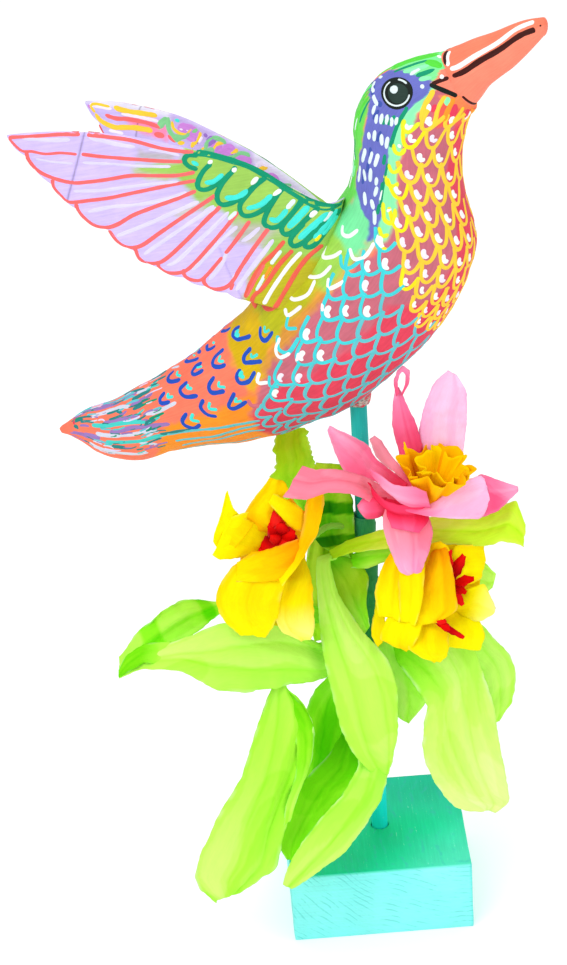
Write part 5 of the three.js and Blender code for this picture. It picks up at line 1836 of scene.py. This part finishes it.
def pink_flower():
    pink = dict(slot="pink_crepe")
    petal("pink_flower_great_petal",
          [(27, -20, 234), (25, -20, 250), (26, -18, 265), (30, -16, 279), (35, -15, 288),
           (41, -14, 293)],
          [(33, -19, 234), (45, -17, 246), (48, -16, 261), (49, -16, 272), (49, -15, 282),
           (45, -14, 290)],
          "rose blush blush", ["pink_flower_petal_1"], bulge=2.5, crumple=0.6, **pink)
    petal("pink_flower_upright_petal",
          [(24, -20, 234), (18, -19, 246), (16, -19, 258), (14, -19, 270), (15, -19, 281),
           (16, -19, 289)],
          [(27, -21, 234), (27, -22, 248), (27, -21, 259), (25, -20, 270), (21, -19, 280),
           (18, -19, 288)],
          "crimson hot rose", ["pink_flower_petal_2"], ruffle=0.7, crease=[(0.5, 1.5, 0.1)], **pink)
    loop = [(16.5, -19, 284), (15.5, -19, 291), (17, -20, 297), (20, -20, 300), (23, -20, 297),
            (22.5, -19, 290), (19, -19, 284)]
    petal("pink_flower_loop", loop, [(19 + (x - 19) * 0.5, y - 1, 291 + (z - 291) * 0.72)
                                     for x, y, z in loop],
          "hot rose hot", bulge=0.2, ruffle=0.2, pleat=0.1, crumple=0.1, **pink)
    petal("pink_flower_small_petal",
          [(22, -20, 238), (16, -18, 249), (13, -15, 252), (9, -12, 258), (6, -10, 260)],
          [(20, -21, 236), (14, -19, 245), (10, -16, 247), (6, -13, 251), (4, -9, 258)],
          "hot salmon salmon", ["pink_flower_petal_3"], bulge=1.0, ruffle=0.5, **pink)
    petal("pink_flower_left_petal",
          [(20, -22, 240), (6, -22, 254), (3, -23, 261), (-3, -24, 267), (-8, -24, 270),
           (-15, -24, 274)],
          [(18, -24, 236), (4, -26, 245), (-2, -26, 247), (-9, -26, 250), (-13, -25, 260),
           (-16, -24, 272)],
          "crimson hot rose", ["pink_flower_petal_4"], bulge=-2.0, **pink)
    petal("pink_flower_long_petal",
          [(20, -26, 238), (5, -30, 246), (-6, -35, 255), (-16, -41, 261), (-23, -43, 262),
           (-29, -44, 265)],
          [(18, -28, 232), (6, -36, 237), (-8, -43, 248), (-18, -45, 251), (-29, -46, 249),
           (-39, -46, 251)],
          "hot salmon salmon", ["pink_flower_petal_5"], bulge=2.0, ruffle=1.4, crease=[(0.4, 1.4, 0.1)],
          **pink)
    petal("pink_flower_low_petal",
          [(18, -28, 236), (8, -38, 238), (6, -41, 229), (9, -44, 217), (12, -44, 208),
           (17, -43, 203)],
          [(27, -28, 234), (27, -39, 234), (29, -42, 224), (26, -44, 214), (23, -44, 206),
           (21, -43, 202)],
          "crimson salmon candy", ["pink_flower_petal_6"], bulge=2.5, crease=[(0.55, 1.4, 0.1)], **pink)
    petal("pink_flower_low_heart",
          [(8, -40, 243), (8, -43, 236), (10, -45, 230)],
          [(27, -41, 238), (27, -44, 232), (22, -46, 227)],
          "crimson crimson hot", bulge=0.6, ruffle=0.4, **pink)
    petal("pink_flower_right_petal",
          [(15, -46, 241), (23, -46, 240), (30, -44, 241), (38, -41, 246), (46, -39, 249),
           (52, -36, 249), (54, -36, 247)],
          [(17, -47, 239), (26, -47, 236), (38, -46, 233), (46, -44, 231), (51, -42, 230),
           (56, -38, 236), (55, -37, 243)],
          "hot candy blush", ["pink_flower_petal_7"], bulge=1.2, ruffle=0.6, **pink)
    petal("pink_flower_right_tip",
          [(48, -35, 246), (53, -35, 249), (61, -33, 244), (70, -31, 239)],
          [(46, -40, 232), (51, -40, 229), (60, -38, 231), (70, -32, 237)],
          "rose hot rose", bulge=0.8, ruffle=0.5, fold=0.6, **pink)
    petal("pink_flower_front_petal",
          [(1, -42, 260), (6, -46, 258), (12, -49, 255), (21, -50, 253), (26, -49, 250)],
          [(3, -40, 255), (9, -44, 248), (15, -46, 243), (21, -47, 241), (28, -47, 240)],
          "hot rose hot", ["pink_flower_petal_8"], bulge=1.4, ruffle=0.7, **pink)
    petal("pink_flower_front_cup",
          [(0, -40, 252), (4, -44, 247), (9, -46, 244), (16, -47, 242), (25, -47, 243)],
          [(6, -36, 240), (9, -38, 238), (13, -40, 235), (19, -41, 233), (26, -41, 233)],
          "crimson crimson crimson", bulge=2.0, ruffle=0.7, **pink)
    petal("pink_flower_lobe",
          [(9, -36, 241), (3, -38, 243), (-2, -38, 243), (-5, -38, 239)],
          [(9, -36, 233), (4, -38, 232), (-1, -38, 232), (-4, -38, 236)],
          "crimson crimson hot", bulge=1.4, ruffle=0.5, **pink)


def tuft(name, node, heart, tips, width, tones=("scarlet", "garnet")):
    """Crumpled pointed strips of red paper that spread from the heart of a flower."""
    build = Build()
    heart = np.array(heart, float)
    for i, tip in enumerate(np.array(tips, float)):
        line = unit(tip - heart)
        side = unit(np.cross(line, VIEWER)) * width / 2
        half = (heart + tip) / 2 + np.array([0, -2.0, 0.6])
        tone = f"{tones[1]} {tones[i % 2]} {tones[0]}"
        paper_sheet(build, [heart - side * 0.6, half - side, tip - side * 0.35],
                    [heart + side * 0.6, half + side, tip + side * 0.25], tone, bulge=1.0,
                    ruffle=0.9, pleat=0.9, crumple=0.5, shift=2.1 * i + 0.6, rim=0.7)
    build.make(name, CREPES["red_crepe"], "figure", "red_crepe", [node])


def flower_centres():
    tuft("left_flower_tuft", "left_flower_centre", (-41, -31, 223),
         [(-44, -37, 239), (-40, -37, 233), (-34, -38, 227), (-33, -38, 221), (-38, -40, 219),
          (-46, -40, 216), (-54, -40, 212), (-50, -38, 220), (-46, -37, 226), (-46, -36, 232)], 8.5)
    tuft("right_flower_tuft", "right_flower_centre", (35, -28, 190),
         [(37, -32, 209), (44, -33, 206), (48, -33, 193), (44, -35, 187), (42, -36, 181),
          (38, -33, 200)], 6.0)
    tuft("right_flower_low_tuft", "right_flower_centre", (28, -43, 179),
         [(33, -47, 179), (41, -47, 170), (37, -47, 173)], 3.4)


def frilled_cup(build, middle, facing, radii, height, waves, tones, shift):
    """A gathered strip of crepe paper: a frilled cup that opens to where the flower faces."""
    axis = unit(np.array(facing, float))
    across = unit(np.cross(axis, [0.0, 0.0, 1.0]))
    up = np.cross(across, axis)
    rows, columns = 16, 120
    a = np.linspace(0, 1, rows)[:, None]
    turn = np.linspace(0, 2 * np.pi * 1.06, columns)[None, :]
    frill = np.sin(turn * waves + 2.2 * noise1(turn.ravel(), 0.8, shift)[None, :])
    frill = frill + 0.3 * flat_noise(turn * 9, a * 2, 2.6, shift)
    radius = radii[0] + (radii[1] - radii[0]) * a ** 1.2 + 2.6 * frill * a ** 1.5
    radius = radius + 1.2 * turn / (2 * np.pi) * a
    ragged = 1.0 + 0.07 * noise1(turn.ravel() * 6, 1.2, shift + 4)[None, :]
    reach = height * a * ragged + 1.4 * np.cos(turn * waves * 0.5 + 1) * a
    grid = (np.array(middle, float)
            + axis * reach[..., None]
            + across * (radius * np.cos(turn))[..., None]
            + up * (radius * np.sin(turn))[..., None])
    face = paper_normals(grid)
    points, faces = shell(grid + face * PAPER / 2, grid - face * PAPER / 2)
    root, tip = (rgb(*PAPERS[name]) for name in tones.split())
    # Painted shade: the root colour deep in the cup and on the inward turns of the frill, the rim colour on
    # the outward turns.
    level = np.clip(a * 0.9 + 0.25 * frill * a, 0, 1)[..., None]
    paint = np.concatenate([mix(root, tip, level).reshape(-1, 3)] * 2)
    brush = np.stack([np.broadcast_to(a * height, (rows, columns)), turn * 14 + a * 0,
                      np.full((rows, columns), shift)], -1).reshape(-1, 3)
    build.add(points, faces, np.concatenate([brush] * 2), paint)


def pink_centre():
    build = Build()
    frilled_cup(build, (28, -33, 233), (0.16, -0.12, 0.97), (3.5, 15.5), 24, 8, "flame amber", 1.3)
    frilled_cup(build, (30, -31, 236), (0.25, -0.2, 0.95), (2.5, 10.5), 21, 6, "amber gold", 6.1)
    paper_sheet(build, [(20, -28, 244), (19, -30, 254), (18, -30, 266)],
                [(24, -28, 244), (22, -30, 254), (18.6, -30, 266)], "flame flame amber",
                bulge=0.3, ruffle=0.2, shift=2.0)
    build.make("pink_flower_corona", CREPES["orange_crepe"], "figure", "orange_crepe",
               ["pink_flower_centre"])


# ---------------------------------------------------------------------------
# Stems, wrapped post, stand
# ---------------------------------------------------------------------------


def round_tube(build, points, radius, sides, step, rough):
    """A closed tube along a smooth path. Rough adds to the radius at (mm along, turn)."""
    path = smooth_path(points, step)
    n = len(path)
    tangent = unit(np.gradient(path, axis=0))
    helper = np.array([0.0, 0.0, 1.0]) if abs(tangent[:, 2]).mean() < 0.8 else np.array([1.0, 0, 0])
    side = unit(np.cross(tangent, helper))
    up = np.cross(side, tangent)
    turn = np.arange(sides) * 2 * np.pi / sides
    along = np.arange(n)[:, None] * step
    r = radius + rough(along, turn[None, :]) + 0 * along * turn
    ring = (path[:, None, :] + side[:, None, :] * (r * np.cos(turn))[..., None]
            + up[:, None, :] * (r * np.sin(turn))[..., None])
    brush = np.stack([along + turn * 0, turn * radius + along * 0, r * 0], -1)
    build.add(ring.reshape(-1, 3), tube_faces(n, sides), brush.reshape(-1, 3))


def wound(pitch, depth, shift):
    """The stepped edge of a tape wound around a stem."""
    def rough(along, turn):
        phase = (along / pitch + turn / (2 * np.pi)) % 1.0
        step = np.where(phase < 0.86, phase / 0.86, (1 - phase) / 0.14)
        return depth * step + 0.08 * flat_noise(along, turn * 3, 3.0, shift)
    return rough


TAPE = brushed_paint("tape_green", rgb(112, 190, 44), rgb(150, 220, 80), streaks=(0.3, 2.4, 1.0))
DARK_TAPE = brushed_paint("tape_dark", rgb(28, 128, 84), rgb(60, 160, 100), streaks=(0.3, 2.0, 1.0))


def stems():
    for flower, points in (
        ("left_flower", [(-7.2, -2.5, 209), (-19, -9, 213), (-32, -24.4, 210.4)]),
        ("right_flower", [(8, -4, 166), (17, -11, 169), (27.5, -18.5, 178)]),
        ("pink_flower", [(5.5, -8, 219), (14, -13, 219), (23.5, -16.5, 225)]),
    ):
        build = Build()
        round_tube(build, points, 1.35, sides=12, step=0.6, rough=wound(4.0, 0.28, 1.7))
        build.make(f"{flower}_taped_wire", TAPE, "figure", "floral_tape", [f"{flower}_stem"])


def sleeve(build, outer, inner, bottom, top, step, sides=48):
    """A closed tube wall around the post, between two radii given as functions."""
    z = np.linspace(bottom, top, int((top - bottom) / step) + 1)[:, None]
    turn = (np.arange(sides) * 2 * np.pi / sides)[None, :]
    walls = []
    for radius in (outer, inner):
        r, high = radius(z, turn)
        walls.append(np.stack([r * np.cos(turn), r * np.sin(turn), high], -1))
    rows = len(z)
    n = rows * sides
    faces = [*grid_faces(rows, sides, closed=True),
             *grid_faces(rows, sides, n, closed=True, flip=True)]
    for c in range(sides):
        d = (c + 1) % sides
        faces.append(np.array([c, c + n, d + n, d]))
        e = (rows - 1) * sides
        faces.append(np.array([e + c, e + d, e + d + n, e + c + n]))
    brush = np.stack([z + 0 * turn, 5.0 * turn + 0 * z, 0 * z + 0 * turn], -1).reshape(-1, 3)
    build.add(np.concatenate([w.reshape(-1, 3) for w in walls]), faces,
              np.concatenate([brush] * 2))


def post_wrap():
    build = Build()
    wind = wound(7.5, 0.45, 4.4)

    def outer(z, turn):
        return 5.1 + wind(z, turn) + 0.1 * flat_noise(z, turn * 4, 5.0, 2.5), z + 0 * turn

    def inner(z, turn):
        return 4.5 + 0 * z * turn, z + 0 * turn

    sleeve(build, outer, inner, 112.3, 213.7, 0.7)
    build.make("post_tape", DARK_TAPE, "figure", "floral_tape", ["stem_wrap"])


def torn_collar():
    """Torn newspaper and glue where the post goes into the belly."""
    build = Build()

    def ragged(z, turn):
        return z + 1.5 * noise1(turn.ravel() * 5, 1.4, 3.0)[None, :] * ramp(z, 276, 268)

    def outer(z, turn):
        r = 5.0 + 1.3 * ramp(z, 270, 278) + 0.4 * flat_noise(z, turn * 6, 2.4, 1.1)
        return r, ragged(z, turn)

    def inner(z, turn):
        return 4.6 + 0 * z * turn, ragged(z, turn) + 0.2

    sleeve(build, outer, inner, 273, 279, 0.8)
    build.make("torn_collar", NEWSPAPER, "figure", "newspaper")


def newspaper_paint():
    s = Shader("newspaper_and_glue")
    place = s.place()
    print_lines = s.speckle(place, (500, 500, 2400), 2.0, 0.6)
    blot = s.speckle(place, (220, 220, 220), 3.0)
    paper = s.blend(s.range(print_lines, 0.45, 0.6, 0.0, 1.0), rgb(220, 214, 200), rgb(110, 112, 112))
    painted = s.blend(s.range(blot, 0.46, 0.54, 0.0, 1.0), paper, rgb(226, 92, 104))
    return s.finish(painted, s.range(blot, 0.3, 0.7, 0.6, 0.9), blot, 0.0005, 0.6, 0.2)


NEWSPAPER = newspaper_paint()


def worn_paint(name, worn_amount):
    """Thin acrylic over pale wood: brush marks, grain showing through, and bare flecks."""
    s = Shader(name)
    brush = s.attribute("brush", "Vector")
    place = s.place()
    streak = s.speckle(brush, (0.05, 1.1, 1.0), 4.0, 0.65)
    cloud = s.speckle(place, (34, 34, 34), 3.0, 0.5)
    fleck = s.speckle(place, (700, 700, 260), 3.0, 0.7)
    base = s.painted(s.range(s.weigh((streak, 0.6), (cloud, 0.4)), 0.34, 0.66, 0.88, 1.08))
    thin = s.range(s.math("MULTIPLY", fleck, streak), 0.36, 0.42, 0.0, worn_amount)
    mixed = s.blend(thin, base, rgb(206, 240, 226))
    height = s.weigh((streak, 0.7), (fleck, 0.3))
    return s.finish(mixed, s.range(cloud, 0.3, 0.7, 0.5, 0.7), height, 0.0004, 0.5, 0.15)


def post():
    """The dowel: teal at the top, painted shade of dark green under the leaves, turquoise near the block.
    """
    build = Build()
    bottom, top = 13.3, 321.7

    def scraped(along, turn):
        return 0.06 * flat_noise(along * 0.12, turn * 2, 2.0, 2.0) - 0.05

    round_tube(build, [(0, 0, bottom), (0, 0, (bottom + top) / 2), (0, 0, top)], 4.0, sides=32,
               step=1.5, rough=scraped)
    z = build.points[0][:, 2:]
    # Painted shade: dark green where the leaves hang over the post.
    colour = mix(rgb(20, 232, 236), rgb(10, 132, 104), ramp(z, 84, 130))
    build.paint[0][:, :3] = mix(colour, rgb(38, 200, 190), ramp(z, 215, 262))
    build.make("painted_dowel", worn_paint("post_paint", 0.35), "post", "painted_post", ["post_dowel"])


BLOCK = np.array([89.0, 82.0, 38.0])
BLOCK_MIDDLE = np.array([-2.5, 1.0, 19.0])
BLOCK_FOOT = 0.05
BLOCK_CELL = 2.0
ARRIS = 1.1
SOCKET_RADIUS, SOCKET_FLOOR = 4.5, 13.0
# The middle of the growth rings, in metres, and how close the rings are.
PITH_X, PITH_Z, RINGS = 0.050, 0.108, 2300.0


def block_paint():
    """Paint brushed over end grain: growth rings around a pith above the block's right side."""
    s = Shader("block_paint")
    place = s.place()
    brush = s.attribute("brush", "Vector")
    split = s.node("SeparateXYZ", Vector=place)
    wander = s.speckle(place, (30, 30, 30), 3.0, 0.5)
    dx = s.math("ADD", split.outputs[0], -PITH_X)
    dz = s.math("ADD", split.outputs[2], -PITH_Z)
    squared = s.math("ADD", s.math("MULTIPLY", dx, dx), s.math("MULTIPLY", dz, dz))
    ring = s.math("ADD", s.math("SQRT", squared), s.math("MULTIPLY", wander, 0.012))
    wave = s.math("SINE", s.math("MULTIPLY", ring, RINGS))
    streak = s.speckle(brush, (0.035, 0.9, 1.0), 4.0, 0.65)
    pore = s.speckle(place, (900, 260, 900), 3.0, 0.7)
    cloud = s.speckle(place, (26, 26, 26), 3.0, 0.5)
    tone = s.weigh((streak, 0.42), (cloud, 0.58), (wave, 0.022))
    base = s.painted(s.range(tone, 0.34, 0.66, 0.88, 1.08))
    wear_and_rim_light = s.range(s.math("MULTIPLY", pore, streak), 0.36, 0.44, 0.0, 0.3)
    mixed = s.blend(wear_and_rim_light, base, rgb(190, 250, 246))
    broken = s.range(s.speckle(place, (120, 120, 120), 3.0, 0.6), 0.46, 0.60, 0.0, 0.44)
    ridge = s.math("MULTIPLY", s.range(wave, 0.5, 0.95, 0.0, 1.0), broken)
    mixed = s.blend(ridge, mixed, rgb(60, 188, 184))
    height = s.weigh((streak, 0.5), (wave, 0.12), (pore, 0.35))
    return s.finish(mixed, s.range(cloud, 0.3, 0.7, 0.55, 0.75), height, 0.0005, 0.5, 0.12)


def block_corner(at):
    """A point of the block's eased, slightly uneven surface, for a place from -1 to 1."""
    inner = np.clip(at * BLOCK / 2, -(BLOCK / 2 - ARRIS), BLOCK / 2 - ARRIS)
    out = unit(at * BLOCK / 2 - inner)
    p = BLOCK_MIDDLE + inner + out * ARRIS
    dent = noise(p[None, :], 16)[0] * 0.22 + noise(p[None, :], 4, 2.0)[0] * 0.07
    p = p - out * (0.16 + dent)
    p[2] = max(p[2], BLOCK_FOOT) if at[2] > -1 else BLOCK_FOOT
    return p


def whole_block():
    """The block before it is drilled, in square cells."""
    counts = np.maximum(2, (BLOCK / BLOCK_CELL).astype(int))
    shape = bmesh.new()
    made = {}

    def corner(*key):
        if key not in made:
            made[key] = shape.verts.new(block_corner(np.array(key) / counts * 2 - 1) * MM)
        return made[key]

    for axis in range(3):
        b, c = [n for n in range(3) if n != axis]
        for end in (0, counts[axis]):
            for u, v in np.ndindex(counts[b], counts[c]):
                quad = []
                for du, dv in ((0, 0), (1, 0), (1, 1), (0, 1)):
                    key = [0, 0, 0]
                    key[axis], key[b], key[c] = int(end), u + du, v + dv
                    quad.append(corner(*key))
                shape.faces.new(quad)
    bmesh.ops.recalc_face_normals(shape, faces=shape.faces)
    mesh = bpy.data.meshes.new("block")
    shape.to_mesh(mesh)
    shape.free()
    return place_in_scene(bpy.data.objects.new("block_raw", mesh))


def drilled(raw):
    """The block's mesh with the socket cut from its top."""
    drill_mesh = bpy.data.meshes.new("drill")
    drill = bmesh.new()
    depth = (BLOCK[2] + 4 - SOCKET_FLOOR) * MM
    bmesh.ops.create_cone(drill, cap_ends=True, segments=48, radius1=SOCKET_RADIUS * MM,
                          radius2=SOCKET_RADIUS * MM, depth=depth,
                          matrix=Matrix.Translation((0, 0, SOCKET_FLOOR * MM + depth / 2)))
    drill.to_mesh(drill_mesh)
    drill.free()
    bit = place_in_scene(bpy.data.objects.new("drill", drill_mesh))
    cut = raw.modifiers.new("socket", "BOOLEAN")
    cut.object, cut.operation, cut.solver = bit, "DIFFERENCE", "EXACT"
    bpy.context.view_layer.update()
    graph = bpy.context.evaluated_depsgraph_get()
    mesh = bpy.data.meshes.new_from_object(raw.evaluated_get(graph))
    for extra in (raw, bit):
        bpy.data.objects.remove(extra)
    bpy.data.meshes.remove(drill_mesh)
    return mesh


def block_colour(points):
    """Turquoise paint, greener on top and paler in front, the front partly as painted light; the right side
    painted duller as shade, and the socket painted dark as shade.
    """
    x, y, z = points.T[:, :, None]
    cloud = noise(points, 24, 6.0)[:, None] * 0.5 + 0.5
    front = mix(rgb(128, 244, 240), rgb(160, 252, 248), 0.4 * cloud)
    # Painted shade: the right side duller.
    front = mix(front, rgb(84, 216, 206), ramp(x, 41.2, 41.8))
    over = mix(rgb(10, 216, 156), rgb(44, 214, 172), cloud)
    over = mix(over, rgb(36, 196, 162), ramp(y, 4, 40) * 0.8)
    over = mix(over, rgb(88, 228, 194), ramp(x - y, 25, 85) * 0.8)
    colour = mix(front, over, ramp(z, BLOCK[2] - 1.4, BLOCK[2] - 0.5))
    # Painted shade: dark in the socket.
    socket_shade = (np.hypot(x, y) < SOCKET_RADIUS + 0.05) & (z < BLOCK[2] - 1)
    colour[socket_shade[:, 0]] = rgb(10, 60, 64)
    return colour


def block():
    """The wood block: eased edges, a slightly uneven surface, and the drilled socket."""
    mesh = drilled(whole_block())
    points = np.array([v.co for v in mesh.vertices]) / MM
    faces = [np.array(p.vertices) for p in mesh.polygons]
    level = np.argmax(np.abs(points - BLOCK_MIDDLE) / (BLOCK / 2), axis=1) == 2
    around = np.stack([points[:, 0] + points[:, 1], points[:, 2], np.zeros(len(points))], 1)
    brush = np.where(level[:, None], points[:, [1, 0, 2]] * [1, 1, 0], around)
    build = Build()
    build.add(points, faces, brush, block_colour(points))
    build.make("painted_block", block_paint(), "base", "painted_block", ["base_block"], smooth=False)


leaves()
left_flower()
right_flower()
pink_flower()
flower_centres()
pink_centre()
stems()
post_wrap()
torn_collar()
post()
block()

# ---------------------------------------------------------------------------
# Camera, light, floor
# ---------------------------------------------------------------------------


# The camera that fits the photo: its place in metres, and its turns in degrees.
LENS, SENSOR = 122.2, 36
CAMERA_AT = (-0.07467, -1.35655, 0.9561)
CAMERA_TURNS = ((-1.59, "Z"), (61.98, "X"), (-3.65, "Z"))
WORLD_LIGHT = 0.64
# Square lights that face the bird: name, place, size and power.
LIGHTS = (
    ("key", (-0.9, -1.1, 1.6), 1.2, 18), ("fill", (1.4, -0.9, 0.9), 1.4, 6.5),
    ("top", (0.1, 0.7, 1.8), 1.4, 8.5),
)
LIGHTS_FACE = Vector((0, 0, 0.22))
FLOOR_REACH, FLOOR_GAP, FLOOR_GLOW = 6.0, 0.0002, 0.30


def camera():
    data = bpy.data.cameras.new("camera")
    data.lens, data.sensor_width = LENS, SENSOR
    data.clip_start, data.clip_end = 0.05, 20
    made = place_in_scene(bpy.data.objects.new("camera", data))
    made.matrix_world = Matrix.Translation(CAMERA_AT)
    for degrees, axis in CAMERA_TURNS:
        made.matrix_world = made.matrix_world @ Matrix.Rotation(math.radians(degrees), 4, axis)
    bpy.context.scene.camera = made


def lights():
    world = bpy.data.worlds.new("studio")
    world.use_nodes = True
    sky = world.node_tree.nodes["Background"]
    sky.inputs["Color"].default_value = (1, 1, 1, 1)
    sky.inputs["Strength"].default_value = WORLD_LIGHT
    bpy.context.scene.world = world
    for name, place, size, power in LIGHTS:
        light = bpy.data.lights.new(name, "AREA")
        light.size, light.energy = size, power
        made = place_in_scene(bpy.data.objects.new(name, light))
        made.location = place
        made.rotation_mode = "QUATERNION"
        made.rotation_quaternion = (LIGHTS_FACE - Vector(place)).to_track_quat("-Z", "Y")


def floor():
    mesh = bpy.data.meshes.new("floor")
    corners = [(x * FLOOR_REACH, y * FLOOR_REACH, 0) for x, y in ((-1, -1), (1, -1), (1, 1), (-1, 1))]
    mesh.from_pydata(corners, [], [(0, 1, 2, 3)])
    made = place_in_scene(bpy.data.objects.new("floor", mesh))
    made.location = (0, 0, CAD_BOX[0].z - FLOOR_GAP)
    s = Shader("floor_paint")
    tone = s.speckle(s.place(), (3, 3, 3), 2.0)
    pale = s.blend(s.range(tone, 0.3, 0.7, 0.0, 1.0), (0.80, 0.80, 0.80), (0.82, 0.82, 0.82))
    rough = s.range(tone, 0.3, 0.7, 0.8, 0.9)
    mesh.materials.append(s.finish(pale, rough, tone, 0.0001, 0.05, 0.1))
    s.surface.inputs["Emission Color"].default_value = (1, 1, 1, 1)
    s.surface.inputs["Emission Strength"].default_value = FLOOR_GLOW


camera()
lights()
floor()
bpy.context.scene.view_settings.view_transform = "Standard"
bpy.context.view_layer.update()
